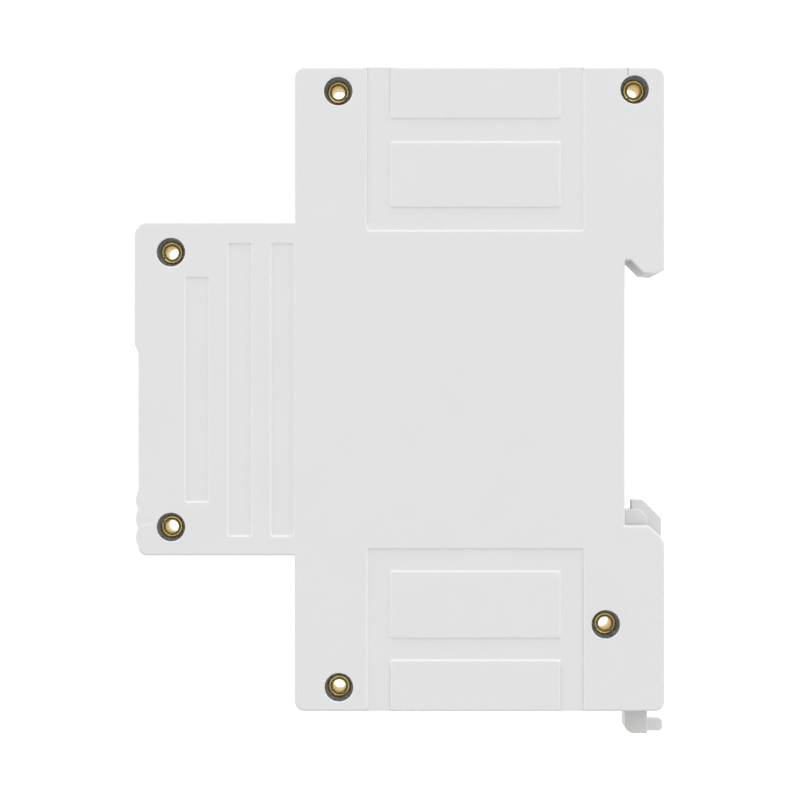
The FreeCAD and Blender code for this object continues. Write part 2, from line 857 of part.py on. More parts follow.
def power_parts():
    """Film capacitor, two cans, varistor, rectifier and three resistors."""
    film = block(
        ("film_left", "film_right"), ("film_front_y", "power_board_y"), ("film_low", "film_high")
    )
    node("x2_capacitor", film)
    span = ("can_front_y", "power_board_y")
    cans = [
        rod("y", (f"can_first_x + {step} * can_pitch", "can_z"), span, "can_radius")
        for step in range(2)
    ]
    node("electrolytic_capacitors", group(*cans))
    across = ("varistor_x", "varistor_x + varistor_thick")
    disc = rod("x", ("varistor_y", "varistor_z"), across, "varistor_radius")
    middle = "varistor_x + varistor_thick / 2"
    legs = [
        rod("y", (middle, z), ("varistor_y", "power_board_y"), "lead_radius")
        for z in around("varistor_z", "lead_offset")
    ]
    node("varistor", fuse(disc, *legs))
    bridge = block(
        around("bridge_x", "bridge_wide / 2"),
        ("power_board_y - bridge_thick", "power_board_y"),
        around("bridge_z", "bridge_wide / 2"),
    )
    node("bridge_rectifier", bridge)
    resistors = [
        rod(
            "x",
            ("resistor_y", f"resistor_first_z - {step} * resistor_pitch"),
            around("resistor_x", "resistor_long / 2"),
            "resistor_radius",
        )
        for step in range(3)
    ]
    node("resistors", group(*resistors))


def terminals():
    """Each terminal has a screw, the clamp that it lifts, and a bar to the power board."""
    bars = []
    for number, (x, z, end) in enumerate(TERMINALS, start=1):
        head = rod("y", (x, z), ("head_front_y", "head_back_y"), "head_radius")
        slot = block(
            around(x, "head_radius"),
            ("head_front_y - slot_deep", "head_front_y + slot_deep"),
            around(z, "slot_thick / 2"),
        )
        shank = rod("y", (x, z), ("head_back_y", "shank_end_y"), "shank_radius")
        node(f"terminal_screw_{number}", fuse(cut(head, slot), shank))

        deep = ("cage_front_y", "cage_back_y")
        cage = block(around(x, "cage_half"), deep, around(z, "cage_long / 2"))
        gap = block(
            around(x, "cage_half - cage_side"),
            ("cage_front_y + cage_nut", "cage_back_y - cage_floor"),
            around(z, "cage_long"),
        )
        hole = rod("y", (x, z), ("cage_front_y - wall", "cage_front_y + wall"), "nut_hole")
        node(f"clamp_cage_{number}", cut(cage, gap, hole))

        outer = f"{z} + {end} * bar_outer"
        inner = f"{z} - {end} * bar_inner"
        low, high = (inner, outer) if end > 0 else (outer, inner)
        across = around(x, "bar_half")
        face = block(across, ("bar_y", "bar_y + bar_thick"), (low, high))
        leg_span = (inner, f"{inner} + bar_thick")
        if end < 0:
            leg_span = (f"{inner} - bar_thick", inner)
        leg = block(across, ("bar_y", "power_board_y"), leg_span)
        bars.append(fuse(face, leg))
    node("contact_bars", group(*bars))


def din_clip():
    """The sliding foot: a slab in the housing's T-slot, with the sprung catch above it, a pocket
    for the spring and the pull tab below."""
    corners = [
        ("clip_front_y", "clip_top_z"),
        ("clip_front_y", "clip_low_z"),
        ("clip_back_y", "clip_low_z"),
        ("clip_back_y", "clip_top_z - clip_slope"),
        ("clip_back_y - clip_slope", "clip_top_z"),
    ]
    body = profile(corners, around("0", "clip_half"))
    rounded(body, "clip_round", corner(("clip_front_y", "clip_low_z")))
    inside = "clip_back_y - clip_slope / 2"
    catch = profile(
        [
            ("catch_front_y", "catch_top_z"),
            ("catch_front_y", "clip_top_z - clip_slope"),
            (inside, "clip_top_z - clip_slope"),
            (inside, "catch_low_z"),
            ("catch_back_y", "catch_low_z"),
            ("catch_back_y", "catch_top_z + catch_flat_y - catch_back_y"),
            ("catch_flat_y", "catch_top_z"),
        ],
        around("0", "catch_half"),
    )
    stub = profile(
        [
            (inside, "stub_low_z"),
            (inside, "stub_high_z"),
            ("stub_end_y", "stub_high_z"),
            ("stub_end_y", "stub_low_z"),
        ],
        around("0", "stub_half"),
    )
    rounded(stub, "stub_round", corner(("stub_end_y", "stub_high_z"), ("stub_end_y", "stub_low_z")))
    pocket = block(
        around("0", "pocket_half"), ("-clip_back_y", "back_y"), ("pocket_low", "pocket_high")
    )
    node("din_clip", cut(fuse(body, catch, stub), pocket))


def clip_spring():
    """A compression spring between the housing's peg and the top of the foot's pocket."""
    body = doc.addObject("PartDesign::Body", "Body")
    sketch = body.newObject("Sketcher::SketchObject", "Wire")
    plane = [part for part in body.Origin.OriginFeatures if part.Role == "XZ_Plane"]
    sketch.AttachmentSupport = [(plane[0], "")]
    sketch.MapMode = "FlatFace"
    start = FreeCAD.Vector(SIZES["spring_radius"], SIZES["wire_radius"], 0)
    sketch.addGeometry(Part.Circle(start, FreeCAD.Vector(0, 0, 1), SIZES["wire_radius"]))
    ties = (
        ("Radius", (0,), SIZES["wire_radius"], "wire_radius"),
        ("DistanceX", (-1, 1, 0, 3), SIZES["spring_radius"], "spring_radius"),
        ("DistanceY", (-1, 1, 0, 3), SIZES["wire_radius"], "wire_radius"),
    )
    for kind, parts, now, text in ties:
        number = sketch.addConstraint(Sketcher.Constraint(kind, *parts, now))
        sketch.setExpression(f"Constraints[{number}]", formula(text))
    helix = body.newObject("PartDesign::AdditiveHelix", "Coils")
    helix.Profile = sketch
    helix.ReferenceAxis = (sketch, ["V_Axis"])
    helix.Mode = 0
    helix.setExpression("Pitch", formula("spring_pitch"))
    helix.setExpression("Height", formula("pocket_high - peg_high - 2 * wire_radius"))
    place(body, "0", "spring_y", "peg_high")
    node("clip_spring", body)


shells()
side_rivets()
front_panel()
flap_cover()
display()
display_board()
buttons()
boards()
relay()
power_parts()
terminals()
din_clip()
clip_spring()

doc.recompute()
faults = [item.Label for item in doc.Objects if {"Invalid", "Error"} & set(item.State)]
faults += [item.Label for item in nodes if item.Shape.isNull() or not item.Shape.isValid()]
if faults:
    raise SystemExit("these objects failed: " + ", ".join(faults))
os.makedirs("parts", exist_ok=True)
for item in nodes:
    item.Shape.exportStep(f"parts/{item.Label}.step")
    print(item.Label, len(item.Shape.Solids), round(item.Shape.Volume, 2))
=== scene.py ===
import json
import math

import bmesh
import bpy
from mathutils import Matrix, Vector
from mathutils.bvhtree import BVHTree
from mathutils.kdtree import KDTree

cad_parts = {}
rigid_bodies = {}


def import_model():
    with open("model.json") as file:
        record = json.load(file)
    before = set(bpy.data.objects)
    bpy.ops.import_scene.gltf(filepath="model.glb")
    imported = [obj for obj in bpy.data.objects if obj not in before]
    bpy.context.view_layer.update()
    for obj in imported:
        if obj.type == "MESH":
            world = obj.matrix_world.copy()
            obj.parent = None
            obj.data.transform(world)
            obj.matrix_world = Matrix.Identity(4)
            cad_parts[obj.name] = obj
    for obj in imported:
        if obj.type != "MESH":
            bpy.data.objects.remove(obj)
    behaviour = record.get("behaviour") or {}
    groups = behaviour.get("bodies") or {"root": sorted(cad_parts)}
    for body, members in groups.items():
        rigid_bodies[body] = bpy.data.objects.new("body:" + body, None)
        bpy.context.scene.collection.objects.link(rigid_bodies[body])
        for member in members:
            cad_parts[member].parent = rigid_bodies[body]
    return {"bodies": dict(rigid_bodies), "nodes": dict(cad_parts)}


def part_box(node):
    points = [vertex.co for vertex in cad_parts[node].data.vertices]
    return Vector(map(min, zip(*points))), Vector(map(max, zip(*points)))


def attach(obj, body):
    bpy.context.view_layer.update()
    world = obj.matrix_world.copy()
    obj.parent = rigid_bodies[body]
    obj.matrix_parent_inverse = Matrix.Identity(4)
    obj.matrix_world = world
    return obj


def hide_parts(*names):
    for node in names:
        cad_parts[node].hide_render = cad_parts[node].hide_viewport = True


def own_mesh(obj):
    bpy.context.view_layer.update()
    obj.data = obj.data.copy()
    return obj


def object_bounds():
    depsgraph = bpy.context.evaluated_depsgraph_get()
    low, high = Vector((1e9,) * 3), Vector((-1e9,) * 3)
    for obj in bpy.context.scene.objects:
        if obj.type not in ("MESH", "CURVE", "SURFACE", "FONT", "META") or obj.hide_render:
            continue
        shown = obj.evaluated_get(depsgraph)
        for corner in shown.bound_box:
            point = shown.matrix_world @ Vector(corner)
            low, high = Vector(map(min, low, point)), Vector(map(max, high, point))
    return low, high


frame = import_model()
cad_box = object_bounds()
scene = bpy.context.scene
MM = 0.001


# ---- The table it is shown on -------------------------------------------------------------
# A round sheet of pale matt card, well below the timer, which hangs as it would on its rail.
# It only catches a soft shadow and throws a little light back up.

def colour(code):
    """An sRGB hex colour as linear red, green, blue and alpha."""
    parts = [int(code[spot:spot + 2], 16) / 255 for spot in (1, 3, 5)]
    linear = [part / 12.92 if part < 0.04045 else ((part + 0.055) / 1.055) ** 2.4 for part in parts]
    return (*linear, 1.0)


def add(tree, kind, sockets=None, **options):
    """Add one node; a socket is given a value, or another node's output to be wired to."""
    made = tree.nodes.new(kind)
    for word, value in options.items():
        setattr(made, word, value)
    for socket, value in (sockets or {}).items():
        if isinstance(value, bpy.types.NodeSocket):
            tree.links.new(value, made.inputs[socket])
        else:
            made.inputs[socket].default_value = value
    return made


def new_finish(name, **values):
    """A material with one shader, whose sockets hold what is the same all over."""
    finish = bpy.data.materials.new(name)
    finish.use_nodes = True
    tree = finish.node_tree
    tree.nodes.clear()
    sockets = {word.replace("_", " "): value for word, value in values.items()}
    shader = add(tree, "ShaderNodeBsdfPrincipled", sockets)
    add(tree, "ShaderNodeOutputMaterial", {"Surface": shader.outputs["BSDF"]})
    return finish, tree, shader


def noise(tree, place, size, detail=2.0):
    """A cloudy pattern between 0 and 1, whose clouds have the given size in millimetres."""
    sockets = {"Vector": place, "Scale": 1000 / size, "Detail": detail}
    return add(tree, "ShaderNodeTexNoise", sockets).outputs["Fac"]


def blend(tree, share, first, second):
    """A mix of two colours, each given as a hex code or as another node's output."""
    first, second = (colour(tone) if isinstance(tone, str) else tone for tone in (first, second))
    ends = {"Factor": share, "A": first, "B": second}
    return add(tree, "ShaderNodeMix", ends, data_type="RGBA").outputs["Result"]


def relief(tree, shader, height, depth):
    """Raise a finish's skin by a pattern, to a depth in millimetres."""
    bump = add(tree, "ShaderNodeBump", {"Height": height, "Distance": depth * MM})
    tree.links.new(bump.outputs["Normal"], shader.inputs["Normal"])


def moulded(name, light, dark, roughness, grain, height, blotch, ior=1.53, **more):
    """A moulded plastic or card: spark-eroded grain, and a faint cloudiness of the pigment.
    grain and blotch are the sizes of their patterns in millimetres, height is the grain's depth."""
    finish, tree, shader = new_finish(name, Roughness=roughness, IOR=ior, **more)
    place = add(tree, "ShaderNodeTexCoord").outputs["Object"]
    pigment = blend(tree, noise(tree, place, blotch, 3.0), light, dark)
    tree.links.new(pigment, shader.inputs["Base Color"])
    relief(tree, shader, noise(tree, place, grain), height)
    return finish


def into_scene(name, shape, finish):
    """Put a bmesh into the scene as an object of that name and finish."""
    mesh = bpy.data.meshes.new(name)
    shape.to_mesh(mesh)
    shape.free()
    mesh.materials.append(finish)
    piece = bpy.data.objects.new(name, mesh)
    scene.collection.objects.link(piece)
    return piece


card = moulded("pale_matt_card", "#C4C4C2", "#BEBEBC", 0.9, 0.9, 0.02, 60)
table_radius, table_thick, table_drop = 1.3, 0.01, 0.075
ring = bmesh.new()
bmesh.ops.create_cone(
    ring, cap_ends=True, segments=128, radius1=table_radius, radius2=table_radius, depth=table_thick
)
table = into_scene("table", ring, card)
table.location.z = cad_box[0].z - table_drop - table_thick / 2


# ---- Room light and camera ------------------------------------------------------------------
# A white tent, brighter overhead and a little brighter from the rail's side, with a dark opening
# at +X that polished metal mirrors and a lens never sees. Two soft panels add the gloss.

def maths(tree, operation, first, second=0.0):
    """One sum in a node tree, of values or of other nodes' outputs."""
    return add(tree, "ShaderNodeMath", {0: first, 1: second}, operation=operation).outputs[0]


def mapped(tree, value, start, stop, low, high, **options):
    """A value that runs from start to stop, brought to run from low to high."""
    sockets = {"Value": value, "From Min": start, "From Max": stop, "To Min": low, "To Max": high}
    return add(tree, "ShaderNodeMapRange", sockets, **options).outputs["Result"]


sky = bpy.data.worlds.new("white_tent")
scene.world = sky
sky.use_nodes = True
sky_tree = sky.node_tree
sky_tree.nodes.clear()
ray = add(sky_tree, "ShaderNodeTexCoord").outputs["Generated"]
toward_light, toward_opening = (-0.35, 0.25, 0.9), (1.0, 0.0, 0.0)
tent_low, tent_high = 1.02, 1.56
opening_edge, opening_heart, opening_dark = 0.94, 0.975, 0.9
along_light, along_opening = (
    add(sky_tree, "ShaderNodeVectorMath", {0: ray, 1: toward}, operation="DOT_PRODUCT")
    for toward in (toward_light, toward_opening)
)
glow = mapped(sky_tree, along_light.outputs["Value"], -1.0, 1.0, tent_low, tent_high)
shade = mapped(
    sky_tree,
    along_opening.outputs["Value"],
    opening_edge,
    opening_heart,
    0.0,
    opening_dark,
    interpolation_type="SMOOTHSTEP",
)
seen_direct = add(sky_tree, "ShaderNodeLightPath").outputs["Is Camera Ray"]
unseen = maths(sky_tree, "SUBTRACT", 1.0, seen_direct)
left = maths(sky_tree, "SUBTRACT", 1.0, maths(sky_tree, "MULTIPLY", shade, unseen))
white = (1.0, 1.0, 1.0, 1.0)
glowing = {"Color": white, "Strength": maths(sky_tree, "MULTIPLY", glow, left)}
backdrop = add(sky_tree, "ShaderNodeBackground", glowing)
add(sky_tree, "ShaderNodeOutputWorld", {"Surface": backdrop.outputs["Background"]})

middle = (cad_box[0] + cad_box[1]) / 2
panels = {
    "key_panel": ((0.95, 0.35, 0.5), 0.6, 1.0),
    "fill_panel": ((0.5, -0.9, 0.3), 0.8, 0.3),
}
for name, (spot, size, power) in panels.items():
    lamp = bpy.data.lights.new(name, "AREA")
    lamp.size = size
    lamp.energy = power
    fitting = bpy.data.objects.new(name, lamp)
    fitting.location = middle + Vector(spot)
    fitting.rotation_euler = (-Vector(spot)).to_track_quat("-Z", "Y").to_euler()
    scene.collection.objects.link(fitting)

scene.view_settings.view_transform = "Standard"
lens_length, sensor_width = 406.0, 36.0
camera_spot = (1.223, -0.03004, -0.00095)
camera = bpy.data.objects.new("camera", bpy.data.cameras.new("camera"))
camera.data.lens = lens_length
camera.data.sensor_width = sensor_width
camera.location = camera_spot
camera.rotation_euler = (math.pi / 2, 0, math.pi / 2)
scene.collection.objects.link(camera)
scene.camera = camera


# ---- Housing shells ---------------------------------------------------------------------------
# Two mirrored mouldings in light grey ABS, 2 mm thick, that meet at the middle of the width.
# The tool was spark eroded, so the skin is satin with a fine grain, and no edge is truly sharp.

def exposed(shape):
    """The faces that look straight out of a mesh, with nothing of it in front of them."""
    tree = BVHTree.FromBMesh(shape)
    lift = 0.01 * MM
    seen = set()
    for face in shape.faces:
        start = face.calc_center_median() + face.normal * lift
        if tree.ray_cast(start, face.normal)[0] is None:
            seen.add(face)
    return seen


def strayed(shape, skin, most):
    """Corners of the faces that rounding has thrown off the node's own surface or turned over."""
    spots = []
    least_area, turned_over = 1e-12, -0.1
    for face in shape.faces:
        if face.calc_area() < least_area:
            continue
        centre = face.calc_center_median()
        _, normal, _, distance = skin.find_nearest(centre)
        if distance > most or normal.dot(face.normal) < turned_over:
            spots += [centre] + [corner.co.copy() for corner in face.verts]
    return spots


def release(shape, marks, spots, reach):
    """Take the mark off every edge that passes close to one of the spots."""
    near = KDTree(len(spots))
    for number, spot in enumerate(spots):
        near.insert(spot, number)
    near.balance()
    for edge in shape.edges:
        start, end = (corner.co for corner in edge.verts)
        parts = max(2, int(edge.calc_length() / reach))
        walk = (start.lerp(end, part / parts) for part in range(parts + 1))
        if edge[marks] and any(near.find(spot)[2] < reach for spot in walk):
            edge[marks] = 0


def cut_into_cells(shape, cell):
    """Cut a mesh along a square lattice, so that shading never stretches over a long thin face."""
    off_the_faces = 0.31
    for axis in range(3):
        across = Vector(int(axis == other) for other in range(3))
        reach = [corner.co[axis] for corner in shape.verts]
        for step in range(math.ceil(min(reach) / cell), math.ceil(max(reach) / cell)):
            every = list(shape.verts) + list(shape.edges) + list(shape.faces)
            place = across * (step + off_the_faces) * cell
            bmesh.ops.bisect_plane(shape, geom=every, plane_co=place, plane_no=across)


def eased(name, node, width, finish, turn=35.0, cell=0.0, edge_highlight_finish=None):
    """A copy of a CAD node whose showing edges are rounded over by width, in millimetres.
    Where a rounding has no room, it is left out and the edge stays as it is."""
    base = bmesh.new()
    base.from_mesh(frame["nodes"][node].data)
    bmesh.ops.remove_doubles(base, verts=base.verts, dist=MM / 1000)
    marks = base.edges.layers.int.new("eased")
    skin = BVHTree.FromBMesh(base)
    seen = exposed(base)
    for edge in base.edges:
        sharp = edge.calc_face_angle(0) > math.radians(turn)
        edge[marks] = int(sharp and bool(seen & set(edge.link_faces)))
    flat = math.radians(0.5)
    bmesh.ops.dissolve_limit(base, angle_limit=flat, verts=base.verts, edges=base.edges)
    stub = 3 * width * MM
    for end, least in ((0, 3 * stub), (1, 2 * stub)):
        marked = [edge for edge in base.edges if edge[marks] and edge.calc_length() > least]
        for edge in marked:
            bmesh.utils.edge_split(edge, edge.verts[end], stub / edge.calc_length())
    tries = 6
    for _ in range(tries):
        shape = base.copy()
        copied = shape.edges.layers.int["eased"]
        # The rounded strips take the second slot, the painted edge highlight, when one is given.
        bmesh.ops.bevel(
            shape,
            geom=[edge for edge in shape.edges if edge[copied]],
            offset=width * MM,
            offset_type="OFFSET",
            segments=2,
            profile=0.5,
            affect="EDGES",
            clamp_overlap=False,
            material=1 if edge_highlight_finish else -1,
        )
        bmesh.ops.triangulate(shape, faces=shape.faces)
        shape.normal_update()
        spots = strayed(shape, skin, 0.8 * width * MM)
        if not spots:
            break
        release(base, marks, spots, 1.2 * width * MM)
    base.free()
    ends = {"verts": shape.verts, "edges": shape.edges, "delimit": {"MATERIAL"}}
    bmesh.ops.dissolve_limit(shape, angle_limit=flat / 10, **ends)
    if cell:
        cut_into_cells(shape, cell * MM)
    piece = into_scene(name, shape, finish)
    if edge_highlight_finish:
        piece.data.materials.append(edge_highlight_finish)
    smooth(piece)
    return piece


def smooth(piece, turn=35.0):
    """Shade a piece smooth, but for edges that turn sharply, and keep its flats flat."""
    for face in piece.data.polygons:
        face.use_smooth = True
    piece.data.set_sharp_from_angle(angle=math.radians(turn))
    weighted = piece.modifiers.new("flats", "WEIGHTED_NORMAL")
    weighted.keep_sharp = True


def fit(piece, node, body):
    """The piece rides on a body and stands in for a CAD node, which is hidden."""
    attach(piece, body)
    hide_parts(node)
    return piece


# Grain this fine wouldn't show, so it is drawn at 0.35 mm, three times its real size.
housing_abs = moulded("moulded_abs_light_grey", "#D9D9DA", "#D6D6D7", 0.48, 0.35, 0.012, 9)
# The tool's rounded edges take almost no grain, so they come out smoother and a little glossier;
# their colour is painted lighter, a painted highlight along each rounded edge.
highlight_edge_abs = moulded("moulded_abs_light_grey_painted_edge_highlight", "#E5E5E5", "#E2E2E2", 0.36, 0.35, 0.002, 9)
shell_ease, shell_cell = 0.12, 2.0
shell_looks = {"cell": shell_cell, "edge_highlight_finish": highlight_edge_abs}
right_shell = eased(
    "right_shell_moulding", "right_shell", shell_ease, housing_abs, **shell_looks
)
other_hand = bmesh.new()
other_hand.from_mesh(right_shell.data)
other_hand.transform(Matrix.Scale(-1, 4, (1, 0, 0)))
bmesh.ops.reverse_faces(other_hand, faces=other_hand.faces)
left_shell = into_scene("left_shell_moulding", other_hand, housing_abs)
# The mirrored shell's rounded strips carry the painted edge highlight too.
left_shell.data.materials.append(highlight_edge_abs)
smooth(left_shell)
fit(right_shell, "right_shell", "housing")
fit(left_shell, "left_shell", "housing")


# ---- Terminal numbers -----------------------------------------------------------------------
# Plain figures, pad printed in dark grey ink beside the screw holes on the two stepped faces.
# They only number the terminals, 1 to 3 along the top and 4 and 5 along the bottom.

ink = moulded("printed_ink_dark_grey", "#4B4E52", "#45484C", 0.6, 0.2, 0.004, 2)
figure_high, ink_thick, figure_offset, capital_share = 2.1, 0.03, 5.3, 0.72
step_face = -44.10
for number in range(1, 6):
    low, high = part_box(f"terminal_screw_{number}")
    toward_nose = -1 if low.z > 0 else 1
    words = bpy.data.curves.new(f"figure_{number}", "FONT")
    words.body = str(number)
    words.size = figure_high * MM / capital_share
    words.align_x = "CENTER"
    words.align_y = "CENTER"
    words.extrude = ink_thick * MM / 2
    drawn = bpy.data.objects.new("drawn", words)
    mesh = bpy.data.meshes.new_from_object(drawn)
    bpy.data.objects.remove(drawn)
    mesh.name = f"terminal_figure_{number}"
    mesh.materials.append(ink)
    figure = bpy.data.objects.new(f"terminal_figure_{number}", mesh)
    scene.collection.objects.link(figure)
    figure.rotation_euler.x = math.pi / 2
    centre = (low + high) / 2
    beside_z = centre.z + toward_nose * figure_offset * MM
    figure.location = (centre.x, step_face * MM - ink_thick * MM / 2, beside_z)
    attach(figure, "housing")


# ---- Rivets ---------------------------------------------------------------------------------
# Six drawn brass tubes hold the shells together. Each end was rolled over in its counterbore,
# which leaves a bright round lip, a dark split where the tube's seam opened, and fine turn marks.

def turned(name, outline, centre, axis, finish, steps=64, split=0.0, split_at=0.0, closed=False):
    """Turn an outline of (radius, distance along the axis) pairs, in millimetres, about an axis.
    A closed outline may leave a split of so many degrees."""
    shape = bmesh.new()
    upright = Vector(axis).to_track_quat("Z", "Y").to_matrix()
    start, sweep = math.radians(split_at + split / 2), math.tau - math.radians(split)
    rings = []
    for step in range(steps + 1 if split else steps):
        angle = start + sweep * step / steps
        spots = (
            upright @ Vector((out * math.cos(angle), out * math.sin(angle), along)) * MM + centre
            for out, along in outline
        )
        rings.append([shape.verts.new(spot) for spot in spots])
    pairs = list(zip(rings, rings[1:])) if split else list(zip(rings, rings[1:] + rings[:1]))
    count = len(outline)
    for near, far in pairs:
        for spot in range(count if closed else count - 1):
            after = (spot + 1) % count
            shape.faces.new((near[spot], far[spot], far[after], near[after]))
    if split:
        shape.faces.new(rings[0])
        shape.faces.new(rings[-1])
    bmesh.ops.remove_doubles(shape, verts=shape.verts, dist=MM / 10000)
    bmesh.ops.recalc_face_normals(shape, faces=shape.faces)
    piece = into_scene(name, shape, finish)
    smooth(piece)
    return piece


def metal(name, light, dark, roughness, scratch, depth, stretch=(1, 1, 1), blotch=3.0, **more):
    """A bare or plated metal: fine lines left by drawing or turning, and patches that are duller.
    scratch and blotch are sizes in millimetres, and stretch draws the lines out along an axis."""
    finish, tree, shader = new_finish(name, Metallic=1.0, **more)
    place = add(tree, "ShaderNodeTexCoord").outputs["Object"]
    drawn_out = add(tree, "ShaderNodeMapping", {"Vector": place, "Scale": stretch})
    dull = noise(tree, place, blotch, 4.0)
    tree.links.new(blend(tree, dull, light, dark), shader.inputs["Base Color"])
    polish = mapped(tree, dull, 0.0, 1.0, 0.7 * roughness, 1.3 * roughness)
    tree.links.new(polish, shader.inputs["Roughness"])
    relief(tree, shader, noise(tree, drawn_out.outputs["Vector"], scratch), depth)
    return finish


def loose_boxes(node):
    """The lowest and highest corner of each loose solid of a CAD node, in order along y, z and x."""
    shape = bmesh.new()
    shape.from_mesh(frame["nodes"][node].data)
    bmesh.ops.remove_doubles(shape, verts=shape.verts, dist=MM / 1000)
    left, boxes = set(shape.verts), []
    while left:
        reached, waiting = set(), [left.pop()]
        while waiting:
            corner = waiting.pop()
            reached.add(corner)
            found = {edge.other_vert(corner) for edge in corner.link_edges} & left
            left -= found
            waiting += found
        spots = [corner.co for corner in reached]
        low = Vector(min(spot[axis] for spot in spots) for axis in range(3))
        high = Vector(max(spot[axis] for spot in spots) for axis in range(3))
        boxes.append((low, high))
    shape.free()
    return sorted(boxes, key=lambda box: tuple(round(place, 5) for place in box[0].yzx))


def arc(centre, radius, start, end, steps):
    """Points along an arc in the outline's own plane, with its angles in degrees."""
    angles = [math.radians(start + (end - start) * step / steps) for step in range(steps + 1)]
    return [(centre[0] + radius * math.cos(a), centre[1] + radius * math.sin(a)) for a in angles]


rivet_brass = metal(
    "drawn_brass",
    "#DCC47C",
    "#A2884A",
    0.15,
    0.12,
    0.006,
    stretch=(0.15, 1, 1),
    blotch=0.8,
    Specular_Tint=colour("#E6C46C"),
)
bore_brass = metal(
    "drawn_brass_bore",
    "#F0E08A",
    "#D8C060",
    0.24,
    0.12,
    0.01,
    blotch=0.8,
    Specular_Tint=colour("#F0D878"),
)
bore, tube_out, lip_out, lip_thick = 0.88, 1.2, 1.5, 0.4
roll, dip, split_wide = 0.13, 0.24, 16
splits = (215, 150, 320, 305, 310, 235)
for number, ((low, high), at) in enumerate(zip(loose_boxes("side_rivets"), splits), start=1):
    centre = (low + high) / 2
    end = (high.x - centre.x) / MM
    for side in (1, -1):
        lip = [(bore, end - lip_thick)]
        lip += arc((bore + roll, end - roll), roll, 180, -20, 12)
        lip += arc((lip_out - dip / 2, end - dip), dip / 2, 100, -40, 6)
        lip += [(lip_out - dip / 2, end - lip_thick), (tube_out, end - lip_thick)]
        name = f"rivet_{number}_{'right' if side > 0 else 'left'}_lip"
        torn = {"split": split_wide, "split_at": at, "closed": True}
        rolled = turned(name, lip, centre, (side, 0, 0), rivet_brass, **torn)
        fit(rolled, "side_rivets", "housing")
    length = end - lip_thick
    tube = [(bore, -length), (bore, length), (tube_out, length), (tube_out, -length)]
    barrel = turned(f"rivet_{number}_tube", tube, centre, (1, 0, 0), bore_brass, closed=True)
    fit(barrel, "side_rivets", "housing")


# ---- Foot and its spring --------------------------------------------------------------------
# The foot is moulded in natural nylon, close to the housing's grey and a little smoother.
# It slides in the back and a coil of drawn steel wire pushes it up behind the rail's edge.

nylon = moulded("moulded_nylon_natural", "#DBDBDB", "#D5D5D5", 0.42, 0.5, 0.01, 5)
foot = eased("sliding_foot", "din_clip", 0.12, nylon)
fit(foot, "din_clip", "foot")

spring_steel = metal("drawn_spring_steel", "#A9ABAE", "#85878B", 0.28, 0.1, 0.004, blotch=0.7)
low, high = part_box("clip_spring")
coil_middle = (low + high) / 2
wire = 0.225
coil_out = (high.x - low.x) / MM / 2 - wire
coil_high = (high.z - low.z) / MM - 2 * wire
free_turns, dead_turns, sides, steps_a_turn = 6.5, 1.0, 10, 36
turns = free_turns + 2 * dead_turns


def coil_rise(turn):
    """How high the wire's centre is after so many turns: the end turns lie almost flat."""
    end_rise = 2 * wire * 1.04
    if turn < dead_turns:
        return end_rise * turn / dead_turns
    if turn > turns - dead_turns:
        return coil_high - end_rise * (turns - turn) / dead_turns
    return end_rise + (coil_high - 2 * end_rise) * (turn - dead_turns) / free_turns


shape = bmesh.new()
rings = []
for step in range(int(turns * steps_a_turn) + 1):
    turn = step / steps_a_turn
    out = Vector((math.cos(math.tau * turn), math.sin(math.tau * turn), 0))
    spot = coil_middle + out * coil_out * MM
    spot.z = low.z + (wire + coil_rise(turn)) * MM
    ring = []
    for side in range(sides):
        angle = math.tau * side / sides
        offset = out * math.cos(angle) + Vector((0, 0, math.sin(angle)))
        ring.append(shape.verts.new(spot + offset * wire * MM))
    rings.append(ring)
for near, far in zip(rings, rings[1:]):
    for side in range(sides):
        after = (side + 1) % sides
        shape.faces.new((near[side], near[after], far[after], far[side]))
shape.faces.new(rings[0])
shape.faces.new(rings[-1])
bmesh.ops.recalc_face_normals(shape, faces=shape.faces)
spring = into_scene("foot_spring", shape, spring_steel)
smooth(spring, 60)
fit(spring, "clip_spring", "housing")
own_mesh(spring)


# ---- Front panel and flap -------------------------------------------------------------------
# The bezel and the flap over the buttons are ABS of the housing's colour from a finer tool,
# so they are a little smoother. The flap turns on two pins and has three ridges for a finger.

front_abs = moulded("moulded_abs_satin", "#D9D9DA", "#D5D5D6", 0.4, 0.3, 0.008, 7)
panel = eased("bezel_and_button_floor", "front_panel", 0.12, front_abs)
fit(panel, "front_panel", "housing")
flap = eased("flap", "flap_cover", 0.12, front_abs)
fit(flap, "flap_cover", "flap")


# ---- Buttons --------------------------------------------------------------------------------
# Seven round caps in mid grey ABS, each dished for a fingertip, with a flange behind the panel
# that keeps it in. The dish is polished by use, so the caps are glossier than the panel.

def end_middle(low, high, axis, end):
    """The middle of a box's face across an axis, at its low end, 0, or at its high end, 1."""
    spot = (low + high) / 2
    spot[axis] = (low, high)[end][axis]
    return spot


cap_abs = moulded("moulded_abs_slate_grey", "#666B72", "#5E6369", 0.34, 0.25, 0.006, 3)
flange_rim, flange_thick, flange_ease = 0.7, 0.8, 0.1
dish, dish_steps, round_over = 0.3, 8, 0.35
for name in [body for body in frame["bodies"] if body.startswith("button_")]:
    low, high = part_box(name)
    flange, long = (high.x - low.x) / MM / 2, (high.y - low.y) / MM
    cap_out = flange - flange_rim
    outline = [(0, 0), (flange - flange_ease, 0), (flange, flange_ease)]
    outline += [(flange, flange_thick - flange_ease), (flange - flange_ease, flange_thick)]
    outline += [(cap_out, flange_thick)]
    outline += arc((cap_out - round_over, long - round_over), round_over, 0, 90, 6)
    widest = cap_out - 1.6 * round_over
    dished = [(1 - step / dish_steps) * widest for step in range(dish_steps + 1)]
    outline += [(out, long - dish * (1 - (out / widest) ** 2)) for out in dished]
    cap = turned(f"{name}_cap", outline, end_middle(low, high, 1, 1), (0, -1, 0), cap_abs)
    fit(cap, name, name)


# ---- Display --------------------------------------------------------------------------------
# A clear cast acrylic lens snaps in from behind. Under it lies the liquid crystal cell, a grey
# green glass sandwich, lit through an opal sheet and joined by two striped rubber strips.

